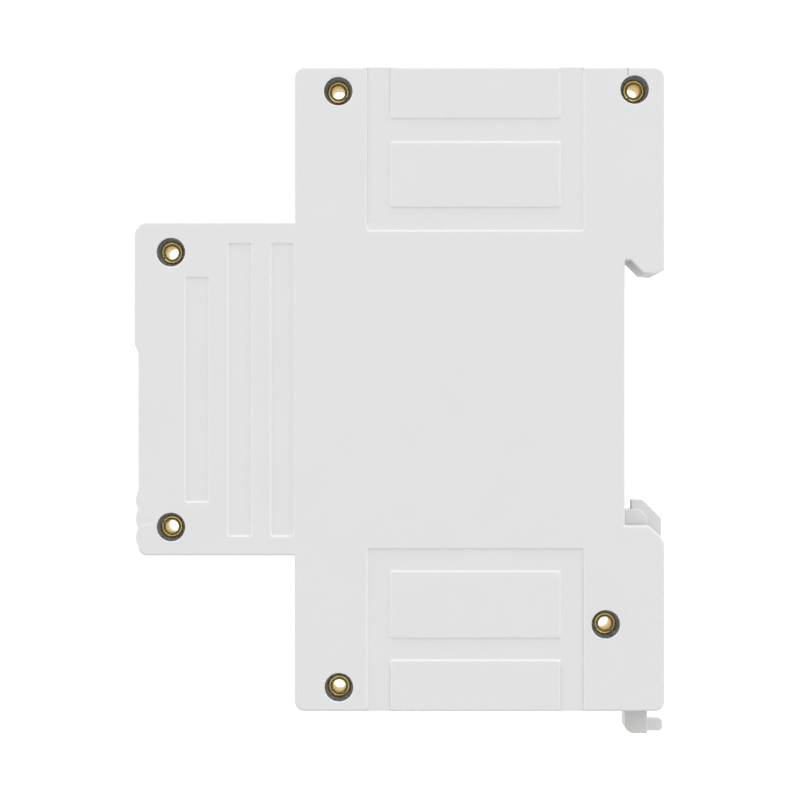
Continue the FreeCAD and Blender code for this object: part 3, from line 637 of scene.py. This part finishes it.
def clear(name, tint, roughness, smear, **more):
    """A clear plastic, polished, with faint finger smears that blur it in patches."""
    finish, tree, shader = new_finish(name, IOR=1.49, **more)
    place = add(tree, "ShaderNodeTexCoord").outputs["Object"]
    marks = noise(tree, place, smear, 3.0)
    tree.links.new(blend(tree, marks, tint, "#FFFFFF"), shader.inputs["Base Color"])
    polish = mapped(tree, marks, 0.0, 1.0, 0.3 * roughness, 1.7 * roughness)
    tree.links.new(polish, shader.inputs["Roughness"])
    return finish


def block(name, low, high, ease, finish):
    """A moulded or cut block between two corners, its edges rounded by ease, in millimetres."""
    shape = bmesh.new()
    bmesh.ops.create_cube(shape, size=1)
    for corner in shape.verts:
        share = corner.co + Vector((0.5, 0.5, 0.5))
        corner.co = Vector(low[axis] + share[axis] * (high[axis] - low[axis]) for axis in range(3))
    bmesh.ops.bevel(
        shape, geom=shape.edges, offset=ease * MM, segments=3, profile=0.5, affect="EDGES"
    )
    piece = into_scene(name, shape, finish)
    smooth(piece)
    return piece


acrylic = clear("cast_acrylic_clear", "#F4F7F6", 0.03, 4, Transmission_Weight=1.0)
lens = eased("display_lens", "display_window", 0.1, acrylic)
fit(lens, "display_window", "housing")

low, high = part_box("lcd_glass")
cell_finish = moulded(
    "liquid_crystal_cell", "#B4BCAB", "#AEB7A4", 0.22, 0.4, 0.002, 6, Coat_Weight=0.6
)
cell = block("lcd_cell", low, high, 0.08, cell_finish)
fit(cell, "lcd_glass", "housing")

digit_ink = moulded("liquid_crystal_segment", "#2E352F", "#343B35", 0.35, 0.2, 0.001, 2)
digit_high, digit_wide, segment_wide, digit_gap, digit_thick = 5.0, 2.7, 0.55, 1.5, 0.03
tip_gap, shoulder_gap, dot_half = 0.08, 0.06, 0.45
digit_places = (-1.65, -0.65, 0.65, 1.65)
half_high, half_wide = digit_high / 2, digit_wide / 2
bars = {
    "top": ((-half_wide, half_high), (half_wide, half_high)),
    "middle": ((-half_wide, 0), (half_wide, 0)),
    "bottom": ((-half_wide, -half_high), (half_wide, -half_high)),
    "upper_left": ((-half_wide, half_high), (-half_wide, 0)),
    "upper_right": ((half_wide, half_high), (half_wide, 0)),
    "lower_left": ((-half_wide, 0), (-half_wide, -half_high)),
    "lower_right": ((half_wide, 0), (half_wide, -half_high)),
}
lit = {
    "1": ("upper_right", "lower_right"),
    "2": ("top", "upper_right", "middle", "lower_left", "bottom"),
    "3": ("top", "upper_right", "middle", "lower_right", "bottom"),
    "0": ("top", "upper_left", "upper_right", "lower_left", "lower_right", "bottom"),
}


def segment(shape, start, end, wide, centre):
    """One pointed bar of a figure, as a thin plate that faces -Y."""
    start, end = Vector(start), Vector(end)
    along = (end - start).normalized()
    across = Vector((-along.y, along.x)) * wide / 2
    inset = along * (wide / 2 + shoulder_gap)
    tip, tail = end - along * tip_gap, start + along * tip_gap
    ring = [tail, start + inset + across, end - inset + across]
    ring += [tip, end - inset - across, start + inset - across]
    faces = []
    for depth in (0.0, -digit_thick):
        spots = (centre + Vector((spot.x, depth, spot.y)) * MM for spot in ring)
        faces.append([shape.verts.new(spot) for spot in spots])
    for spot in range(len(ring)):
        after = (spot + 1) % len(ring)
        shape.faces.new((faces[0][spot], faces[0][after], faces[1][after], faces[1][spot]))
    shape.faces.new(faces[0])
    shape.faces.new(reversed(faces[1]))


shape = bmesh.new()
middle_x, middle_z = (low.x + high.x) / 2, (low.z + high.z) / 2
pitch = digit_wide + digit_gap
for spot, figure in zip(digit_places, "1230"):
    centre = Vector((middle_x + spot * pitch * MM, low.y, middle_z))
    for bar in lit[figure]:
        segment(shape, *bars[bar], segment_wide, centre)
for rise in (-1, 1):
    dot = Vector((middle_x, low.y, middle_z + rise * half_high / 2 * MM))
    segment(shape, (0, -dot_half), (0, dot_half), segment_wide, dot)
bmesh.ops.recalc_face_normals(shape, faces=shape.faces)
figures = into_scene("lcd_figures", shape, digit_ink)
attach(figures, "housing")

opal = moulded("opal_acrylic_sheet", "#EDEEE8", "#E6E7E0", 0.5, 0.3, 0.004, 4)
low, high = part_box("lcd_backlight")
sheet = block("backlight_sheet", low, high, 0.15, opal)
fit(sheet, "lcd_backlight", "housing")

def stripes(tree, place, period, axis):
    """Stripes between 0 and 1 across an axis, which repeat after a period in millimetres."""
    sockets = {"Vector": place, "Scale": 1000 / period / math.tau}
    return add(tree, "ShaderNodeTexWave", sockets, bands_direction=axis).outputs["Fac"]


# The layers of a contact strip are about 0.05 mm thick, drawn ten times coarser to show.
zebra, tree, shader = new_finish("layered_silicone_rubber", Roughness=0.7, IOR=1.41)
place = add(tree, "ShaderNodeTexCoord").outputs["Object"]
layers = stripes(tree, place, 0.5, "X")
tree.links.new(blend(tree, layers, "#1E1E20", "#B9BAB6"), shader.inputs["Base Color"])
for number, (low, high) in enumerate(loose_boxes("zebra_strips"), start=1):
    rubber = block(f"contact_strip_{number}", low, high, 0.12, zebra)
    fit(rubber, "zebra_strips", "housing")

low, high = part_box("light_pipe")
pipe_radius, collar_radius = 1.5, (high.x - low.x) / MM / 2
collar_back, collar_front = 5.8, 6.71
pipe_long, dome = (high.y - low.y) / MM, 0.12
outline = [(0, 0), (pipe_radius, 0), (pipe_radius, collar_back), (collar_radius, collar_back)]
outline += [(collar_radius, collar_front), (pipe_radius, collar_front)]
outline += [(pipe_radius, pipe_long - dome)]
shares = [step / 6 for step in range(5, -1, -1)]
outline += [(pipe_radius * share, pipe_long - dome * share**2) for share in shares]
# A fine etch on the pipe's ends spreads the light, which makes it look milky.
frosted = clear("cast_acrylic_frosted", "#F1F2F0", 0.4, 4, Transmission_Weight=0.55)
pipe_back = end_middle(low, high, 1, 1)
pipe = turned("indicator_light_pipe", outline, pipe_back, (0, -1, 0), frosted)
fit(pipe, "light_pipe", "housing")

led_epoxy = moulded("cast_epoxy_amber", "#E8DDB0", "#DCCF9B", 0.2, 0.3, 0.002, 1)
low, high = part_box("indicator_led")
led = block("indicator_diode", low, high, 0.2, led_epoxy)
fit(led, "indicator_led", "housing")


# ---- Boards and headers ---------------------------------------------------------------------
# Three boards of woven glass and epoxy under a green solder mask. Copper tracks show through it
# as lighter lines, and pads are tinned. The sawn edges are bare laminate, a pale straw colour.

def track_masks(tree, flat):
    """Masks of the tracks, which run in lanes with slanted jogs, and of the pads at their ends."""
    lane_pitch, jog_length, jog_depth = 1.6 * MM, 4.5 * MM, 1.6 * MM
    run = 2 * jog_length
    track_half, pad_radius = 0.17 * MM, 0.5 * MM
    plane = add(tree, "ShaderNodeSeparateXYZ", {0: flat}).outputs
    jog = maths(tree, "MINIMUM", maths(tree, "PINGPONG", plane["X"], jog_length), jog_depth)
    lane = maths(tree, "DIVIDE", maths(tree, "ADD", plane["Y"], jog), lane_pitch)
    # Half a run along, a track is straight, and a pad there stays round.
    along = maths(tree, "ADD", maths(tree, "DIVIDE", plane["X"], run), 0.5)
    cell = maths(tree, "FLOOR", lane)
    across = maths(tree, "SUBTRACT", maths(tree, "FRACT", lane), 0.5)
    across = maths(tree, "ABSOLUTE", maths(tree, "MULTIPLY", across, lane_pitch))
    past_end = maths(tree, "SUBTRACT", along, maths(tree, "ROUND", along))
    past_end = maths(tree, "MULTIPLY", past_end, run)
    to_pad = add(tree, "ShaderNodeCombineXYZ", {0: across, 1: past_end}).outputs[0]
    to_pad = add(tree, "ShaderNodeVectorMath", {0: to_pad}, operation="LENGTH").outputs["Value"]
    masks = []
    kinds = ((across, track_half, "FLOOR", 0.6), (to_pad, pad_radius, "ROUND", 0.35))
    for near, reach, place, share in kinds:
        spot = {0: cell, 1: maths(tree, place, along)}
        spot = add(tree, "ShaderNodeCombineXYZ", spot).outputs[0]
        draw = add(tree, "ShaderNodeTexWhiteNoise", {"Vector": spot}).outputs["Value"]
        drawn = maths(tree, "LESS_THAN", draw, share)
        masks.append(maths(tree, "MULTIPLY", maths(tree, "LESS_THAN", near, reach), drawn))
    return masks


def laminate(name, flat_axis):
    """Solder mask on the two flat sides, with tracks and pads, and bare laminate on the edges."""
    finish, tree, shader = new_finish(name, Roughness=0.32, IOR=1.5, Coat_Weight=0.3)
    place = add(tree, "ShaderNodeTexCoord").outputs["Object"]
    turn = {"x": (0, math.pi / 2, 0), "y": (math.pi / 2, 0, 0)}[flat_axis]
    flat = {"Vector": place, "Rotation": turn}
    flat = add(tree, "ShaderNodeMapping", flat).outputs["Vector"]
    tracks, pads = track_masks(tree, flat)
    mask = blend(tree, pads, blend(tree, tracks, "#1E5A36", "#377A49"), "#BDBCB5")
    # The glass cloth's threads are 0.4 mm apart and show on the sawn edges.
    straw = blend(tree, noise(tree, place, 0.4), "#C9B983", "#B3A26B")
    facing = {"Vector": add(tree, "ShaderNodeNewGeometry").outputs["Normal"]}
    steep = add(tree, "ShaderNodeSeparateXYZ", facing).outputs[flat_axis.upper()]
    on_flat = maths(tree, "GREATER_THAN", maths(tree, "ABSOLUTE", steep), 0.7)
    tree.links.new(blend(tree, on_flat, straw, mask), shader.inputs["Base Color"])
    relief(tree, shader, maths(tree, "MAXIMUM", tracks, pads), 0.03)
    return finish


for node, axis in (("display_board", "y"), ("power_board", "y"), ("riser_board", "x")):
    board = eased(f"{node}_laminate", node, 0.08, laminate(f"glass_epoxy_board_{node}", axis))
    fit(board, node, "housing")

black = moulded("moulded_black_epoxy", "#1B1C1E", "#222326", 0.5, 0.15, 0.006, 2)
gold = metal("gold_plated_pin", "#E2C277", "#CDA955", 0.2, 0.1, 0.001)
pin_pitch, pin_half, pin_tail, pin_ease = 2.54, 0.32, 0.2, 0.08
for number, (low, high) in enumerate(loose_boxes("board_headers"), start=1):
    header = block(f"board_header_{number}", low, high, 0.2, black)
    fit(header, "board_headers", "housing")
    shape = bmesh.new()
    pin_count = int((high.z - low.z) / MM / pin_pitch)
    for pin in range(pin_count):
        rise = (pin - (pin_count - 1) / 2) * pin_pitch
        spot = end_middle(low, high, 0, 1) + Vector((-pin_tail, 0, rise)) * MM
        stub = bmesh.ops.create_cube(shape, size=2 * pin_half * MM)
        bmesh.ops.translate(shape, vec=spot, verts=stub["verts"])
    bmesh.ops.bevel(shape, geom=shape.edges, offset=pin_ease * MM, segments=2, affect="EDGES")
    pins = into_scene(f"header_pins_{number}", shape, gold)
    smooth(pins)
    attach(pins, "housing")


# ---- Controller, crystal, backup cell and switches ------------------------------------------
# The controller is a black moulded package with tinned gull-wing legs. The crystal is a small
# drawn can, the cell a steel coin held by a sprung strap, and each switch has a steel cover.

def strip(shape, path, side, wide, thick):
    """A bent strip of sheet metal that follows a path, wide along side and thick across it."""
    side = Vector(side).normalized()
    rings = []
    for number, spot in enumerate(path):
        before, after = path[max(number - 1, 0)], path[min(number + 1, len(path) - 1)]
        normal = (after - before).normalized().cross(side)
        corners = ((1, 1), (1, -1), (-1, -1), (-1, 1))
        ring = (spot + (side * a * wide + normal * b * thick) * MM / 2 for a, b in corners)
        rings.append([shape.verts.new(corner) for corner in ring])
    for near, far in zip(rings, rings[1:]):
        for corner in range(4):
            after = (corner + 1) % 4
            shape.faces.new((near[corner], near[after], far[after], far[corner]))
    shape.faces.new(rings[0])
    shape.faces.new(rings[-1])


tin = metal("tin_plate", "#C6C5C0", "#A9A8A3", 0.3, 0.1, 0.002, blotch=0.9)
low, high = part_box("microcontroller")
leg_out, package_lift, leg_count, leg_wide, leg_thick, leg_spread = 0.8, 0.15, 8, 0.35, 0.14, 0.86
package_low = low + Vector((leg_out, package_lift, leg_out)) * MM
package_high = high - Vector((leg_out, 0, leg_out)) * MM
package = block("controller_package", package_low, package_high, 0.12, black)
fit(package, "microcontroller", "housing")
shape = bmesh.new()
centre = (package_low + package_high) / 2
half = (package_high.x - package_low.x) / 2
leg_pitch = 2 * half * leg_spread / (leg_count - 1)
board_y = low.y + leg_thick / 2 * MM
steps = ((-0.1, centre.y), (0.2, centre.y), (0.35, board_y), (0.78, board_y))
for quarter in range(4):
    angle = quarter * math.pi / 2
    out = Vector((math.cos(angle), 0, math.sin(angle)))
    along = Vector((-math.sin(angle), 0, math.cos(angle)))
    for leg in range(leg_count):
        root = centre + out * half + along * (leg - (leg_count - 1) / 2) * leg_pitch
        path = [Vector((root.x, y, root.z)) + out * reach * MM for reach, y in steps]
        strip(shape, path, along, leg_wide, leg_thick)
bmesh.ops.recalc_face_normals(shape, faces=shape.faces)
legs = into_scene("controller_legs", shape, tin)
fit(legs, "microcontroller", "housing")

can_steel = metal("nickel_plated_steel", "#C9C9C6", "#B2B2B0", 0.24, 0.12, 0.002, blotch=1.5)
low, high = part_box("crystal")
can_radius, can_long = (high.z - low.z) / MM / 2, (high.x - low.x) / MM
outline = [(0, 0), (can_radius - 0.1, 0), (can_radius, 0.12), (can_radius, 0.4)]
outline += [(can_radius - 0.06, 0.5)]
outline += arc((can_radius - 0.31, can_long - 0.25), 0.25, 0, 90, 5) + [(0, can_long)]
can_foot = end_middle(low, high, 0, 0)
can = turned("crystal_can", outline, can_foot, (1, 0, 0), can_steel, steps=40)
fit(can, "crystal", "housing")

low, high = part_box("backup_battery")
coin_radius, coin_thick = (high.x - low.x) / MM / 2, (high.y - low.y) / MM
outline = [(0, 0), (coin_radius - 1.4, 0), (coin_radius - 1.2, 0.25), (coin_radius - 0.8, 0.25)]
outline += [(coin_radius - 0.6, 0.1), (coin_radius - 0.2, 0.1), (coin_radius, 0.35)]
outline += arc((coin_radius - 0.4, coin_thick - 0.4), 0.4, 0, 90, 5) + [(0, coin_thick)]
coin_face = end_middle(low, high, 1, 0)
coin = turned("backup_coin_cell", outline, coin_face, (0, 1, 0), can_steel, steps=72)
fit(coin, "backup_battery", "housing")
strap = eased("cell_strap", "battery_clip", 0.08, spring_steel)
fit(strap, "battery_clip", "housing")

plunger_radius, plunger_ease, body_ease = 0.9, 0.1, 0.15
cover_thick, cover_inset, cover_ease, switch_deep = 0.25, 0.1, 0.1, 2.0
for number, (low, high) in enumerate(loose_boxes("button_switches"), start=1):
    cover_y = high.y - switch_deep * MM
    base_low = Vector((low.x, cover_y + cover_thick * MM, low.z))
    base = block(f"switch_{number}_base", base_low, high, body_ease, black)
    fit(base, "button_switches", "housing")
    inset = Vector((cover_inset, 0, cover_inset)) * MM
    cover_low = Vector((low.x, cover_y, low.z)) + inset
    cover_high = Vector((high.x, cover_y + 2 * cover_thick * MM, high.z)) - inset
    cover = block(f"switch_{number}_cover", cover_low, cover_high, cover_ease, can_steel)
    fit(cover, "button_switches", "housing")
    long = (cover_y - low.y) / MM + cover_thick
    outline = [(0, 0), (plunger_radius, 0), (plunger_radius, long - plunger_ease)]
    outline += [(plunger_radius - plunger_ease, long), (0, long)]
    root = end_middle(base_low, high, 1, 0)
    plunger = turned(f"switch_{number}_plunger", outline, root, (0, -1, 0), black, steps=32)
    fit(plunger, "button_switches", "housing")


# ---- Relay ----------------------------------------------------------------------------------
# A blue glass-filled nylon case over a coil of enamelled copper on its bobbin. The yoke and the
# armature are nickel plated soft iron, and the contacts are silver alloy on bronze leaves.

relay_blue = moulded("moulded_blue_nylon", "#1F4F9E", "#1B4690", 0.36, 0.3, 0.008, 4)
for node in ("relay_base", "relay_case"):
    piece = eased(f"{node}_moulding", node, 0.2, relay_blue)
    fit(piece, node, "housing")

# The wire is 0.1 mm thick, and its turns are drawn 0.3 mm apart so that they show.
copper, tree, shader = new_finish("enamelled_copper_winding", Metallic=0.85, Roughness=0.35)
place = add(tree, "ShaderNodeTexCoord").outputs["Object"]
rows = stripes(tree, place, 0.3, "Z")
tree.links.new(blend(tree, rows, "#8A3F1B", "#C8743A"), shader.inputs["Base Color"])
relief(tree, shader, rows, 0.05)

low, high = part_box("relay_coil")
flange_radius, winding_radius, core_radius = (high.x - low.x) / MM / 2, 3.4, 1.5
flange_foot, winding_long, flange_thick, spool_wall = 0.4, 11.0, 0.6, 0.4
root = end_middle(low, high, 2, 0)
start, end = flange_foot, flange_foot + winding_long + 2 * flange_thick
hub = core_radius + spool_wall
spool = [(0, start), (flange_radius, start), (flange_radius, start + flange_thick)]
spool += [(hub, start + flange_thick), (hub, end - flange_thick)]
spool += [(flange_radius, end - flange_thick), (flange_radius, end), (0, end)]
bobbin = turned("relay_bobbin", spool, root, (0, 0, 1), black)
fit(bobbin, "relay_coil", "housing")
past_flange, full_from, slack = flange_thick + 0.02, 0.9, 0.1
wound = [(hub, start + past_flange), (winding_radius - slack, start + past_flange)]
wound += [(winding_radius, start + full_from), (winding_radius, end - full_from)]
wound += [(winding_radius - slack, end - past_flange), (hub, end - past_flange)]
winding = turned("relay_winding", wound, root, (0, 0, 1), copper, closed=True)
fit(winding, "relay_coil", "housing")
iron = metal("nickel_plated_iron", "#B5B4B0", "#9A9995", 0.33, 0.15, 0.003, blotch=1.2)
core_long = (high.z - low.z) / MM
pole = [(0, 0), (core_radius, 0), (core_radius, core_long - 0.1), (core_radius - 0.1, core_long)]
core = turned("relay_core", pole + [(0, core_long)], root, (0, 0, 1), iron, steps=40)
fit(core, "relay_coil", "housing")
yoke = eased("relay_yoke_plate", "relay_yoke", 0.12, iron)
fit(yoke, "relay_yoke", "housing")
armature = eased("relay_armature_plate", "relay_armature", 0.1, iron)
fit(armature, "relay_armature", "armature")
silver = metal("silver_alloy", "#DAD9D4", "#C4C3BE", 0.22, 0.1, 0.002, blotch=0.8)
contacts = eased("relay_contact_leaves", "relay_contacts", 0.08, silver)
fit(contacts, "relay_contacts", "housing")


# ---- Parts of the power supply --------------------------------------------------------------
# A boxed film capacitor, two electrolytic cans in shrink sleeves, a dipped varistor disc, a
# moulded rectifier and three resistors, which the lacquer and coloured bands mark.

film_yellow = moulded("moulded_yellow_pbt", "#D8B23A", "#CFA832", 0.42, 0.3, 0.006, 5)
low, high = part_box("x2_capacitor")
film = block("film_capacitor_box", low, high, 0.45, film_yellow)
fit(film, "x2_capacitor", "housing")

sleeve = moulded("shrink_sleeve_pvc", "#1C2230", "#232A3A", 0.28, 0.5, 0.006, 3)
aluminium = metal("deep_drawn_aluminium", "#CFD0D2", "#BDBEC1", 0.25, 0.15, 0.002)
for number, (low, high) in enumerate(loose_boxes("electrolytic_capacitors"), start=1):
    radius, long = (high.x - low.x) / MM / 2, (high.y - low.y) / MM
    root = end_middle(low, high, 1, 1)
    outline = [(0, 0), (radius - 0.3, 0), (radius, 0.3), (radius, 1.0), (radius - 0.35, 1.5)]
    outline += [(radius - 0.35, 1.8), (radius, 2.3)]
    outline += arc((radius - 0.5, long - 0.5), 0.5, 0, 70, 5) + [(radius - 0.9, long - 0.05)]
    outline += [(radius - 0.9, long - 0.3), (0, long - 0.3)]
    jacket = turned(f"electrolytic_{number}_sleeve", outline, root, (0, -1, 0), sleeve, steps=56)
    fit(jacket, "electrolytic_capacitors", "housing")
    lid = [(0, long - 0.4), (radius - 0.92, long - 0.4), (radius - 0.92, long - 0.12)]
    lid += [(0.25, long - 0.12), (0, long - 0.2)]
    top = turned(f"electrolytic_{number}_top", lid, root, (0, -1, 0), aluminium, steps=56)
    fit(top, "electrolytic_capacitors", "housing")

dipped = moulded("dipped_blue_epoxy", "#2B5EA6", "#24539A", 0.3, 1.2, 0.03, 2)
low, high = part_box("varistor")
disc_radius, disc_thick = (high.z - low.z) / MM / 2, (high.x - low.x) / MM
crown = [(disc_radius * share, bulge) for share, bulge in ((0, 0), (0.55, 0.02), (0.85, 0.3))]
crown += [(disc_radius - 0.2, 0.9)]
outline = crown + [(disc_radius, disc_thick / 2)]
outline += [(out, disc_thick - along) for out, along in reversed(crown)]
disc_face = Vector((low.x, low.y + disc_radius * MM, (low.z + high.z) / 2))
disc = turned("varistor_disc", outline, disc_face, (1, 0, 0), dipped)
fit(disc, "varistor", "housing")
lead_radius, lead_offset = 0.35, 2.5
for number, side in enumerate((-1, 1), start=1):
    long = (high.y - disc_face.y) / MM
    root = end_middle(low, high, 1, 1) + Vector((0, 0, side * lead_offset)) * MM
    leg = [(0, 0), (lead_radius, 0), (lead_radius, long), (0, long)]
    lead = turned(f"varistor_lead_{number}", leg, root, (0, -1, 0), tin, steps=24)
    fit(lead, "varistor", "housing")

low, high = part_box("bridge_rectifier")
bridge = block("rectifier_package", low, high, 0.25, black)
fit(bridge, "bridge_rectifier", "housing")

# Coloured bands 0.5 mm wide and 1.3 mm apart, under a clear lacquer.
lacquer, tree, shader = new_finish("lacquered_metal_film", Roughness=0.25, IOR=1.5)
place = add(tree, "ShaderNodeTexCoord").outputs["Object"]
painted = mapped(tree, stripes(tree, place, 1.3, "X"), 0.78, 0.82, 0.0, 1.0)
tree.links.new(blend(tree, painted, "#7FA6B5", "#7A3B22"), shader.inputs["Base Color"])
for number, (low, high) in enumerate(loose_boxes("resistors"), start=1):
    radius, long = (high.z - low.z) / MM / 2, (high.x - low.x) / MM
    waist = radius - 0.2
    outline = [(0, 0), (radius - 0.5, 0), (radius, 0.5), (radius, 1.2), (waist, 1.7)]
    outline += [(out, long - along) for out, along in reversed(outline)]
    root = end_middle(low, high, 0, 0)
    resistor = turned(f"resistor_{number}", outline, root, (1, 0, 0), lacquer, steps=40)
    fit(resistor, "resistors", "housing")


# ---- Terminals ------------------------------------------------------------------------------
# Each has an M3.5 steel screw with a combined slot and cross, zinc plated, that lifts a folded
# steel cage. The wire is clamped between the cage's floor and a tin-plated brass bar.

zinc = metal("zinc_plated_steel", "#C4C6C8", "#A5A7AA", 0.3, 0.15, 0.003, blotch=1.2)
thread_pitch, thread_deep, thread_sides, thread_rings = 0.6, 0.28, 48, 8
shank_radius, head_long, head_ease = 1.70, 2.5, 0.35
slot_deep, slot_wide, cross_deep, cross_half, cross_wide = 0.9, 0.8, 1.4, 1.7, 1.0
for number in range(1, 6):
    node = f"terminal_screw_{number}"
    low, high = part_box(node)
    head_radius, long = (high.x - low.x) / MM / 2, (high.y - low.y) / MM
    face = end_middle(low, high, 1, 0)

    outline = [(0, 0), (head_radius - head_ease, 0)]
    outline += [(head_radius, head_ease), (head_radius, head_long), (0, head_long)]
    head = turned(f"screw_{number}_head", outline, face, (0, 1, 0), zinc)
    slot = (head_radius * 1.2, slot_deep, slot_wide / 2)
    upright_arm = (cross_wide / 2, cross_deep, cross_half)
    level_arm = (cross_half, cross_deep, cross_wide / 2)
    for half_x, depth, half_z in (slot, upright_arm, level_arm):
        cutter = bmesh.new()
        made = bmesh.ops.create_cube(cutter, size=1)["verts"]
        size = Vector((2 * half_x, 2 * depth, 2 * half_z)) * MM
        bmesh.ops.scale(cutter, vec=size, verts=made)
        bmesh.ops.translate(cutter, vec=face, verts=made)
        cut = into_scene("cut", cutter, zinc)
        recess = head.modifiers.new("recess", "BOOLEAN")
        recess.operation, recess.solver, recess.object = "DIFFERENCE", "EXACT", cut
        bpy.context.view_layer.update()
        after = head.evaluated_get(bpy.context.evaluated_depsgraph_get())
        carved = bpy.data.meshes.new_from_object(after)
        head.modifiers.clear()
        head.data = carved
        bpy.data.objects.remove(cut)
    smooth(head)
    fit(head, node, f"screw_{number}")

    shape = bmesh.new()
    rings = []
    shank_long = long - head_long
    ring_count = int(shank_long / thread_pitch * thread_rings)
    for ring in range(ring_count + 1):
        along = shank_long * ring / ring_count
        spots = []
        for side in range(thread_sides):
            turn = side / thread_sides
            phase = (along / thread_pitch - turn) % 1.0
            taper = min(1.0, (shank_long - along) / 0.5 + 0.35, along / 0.4)
            out = shank_radius - thread_deep * (1 - abs(2 * phase - 1) * taper)
            angle = math.tau * turn
            radial = Vector((math.cos(angle), 0, math.sin(angle))) * out
            down = Vector((0, head_long + along, 0))
            spots.append(shape.verts.new(face + (radial + down) * MM))
        rings.append(spots)
    for near, far in zip(rings, rings[1:]):
        for side in range(thread_sides):
            after = (side + 1) % thread_sides
            shape.faces.new((near[side], far[side], far[after], near[after]))
    shape.faces.new(rings[0])
    shape.faces.new(rings[-1])
    bmesh.ops.recalc_face_normals(shape, faces=shape.faces)
    shank = into_scene(f"screw_{number}_thread", shape, zinc)
    smooth(shank)
    fit(shank, node, f"screw_{number}")

    cage = eased(f"clamp_{number}", f"clamp_cage_{number}", 0.15, zinc)
    fit(cage, f"clamp_cage_{number}", f"cage_{number}")

tinned = metal("tin_plated_brass", "#CFC8B0", "#B4AC93", 0.32, 0.2, 0.003, blotch=1.5)
bars_piece = eased("terminal_bars", "contact_bars", 0.1, tinned)
fit(bars_piece, "contact_bars", "housing")
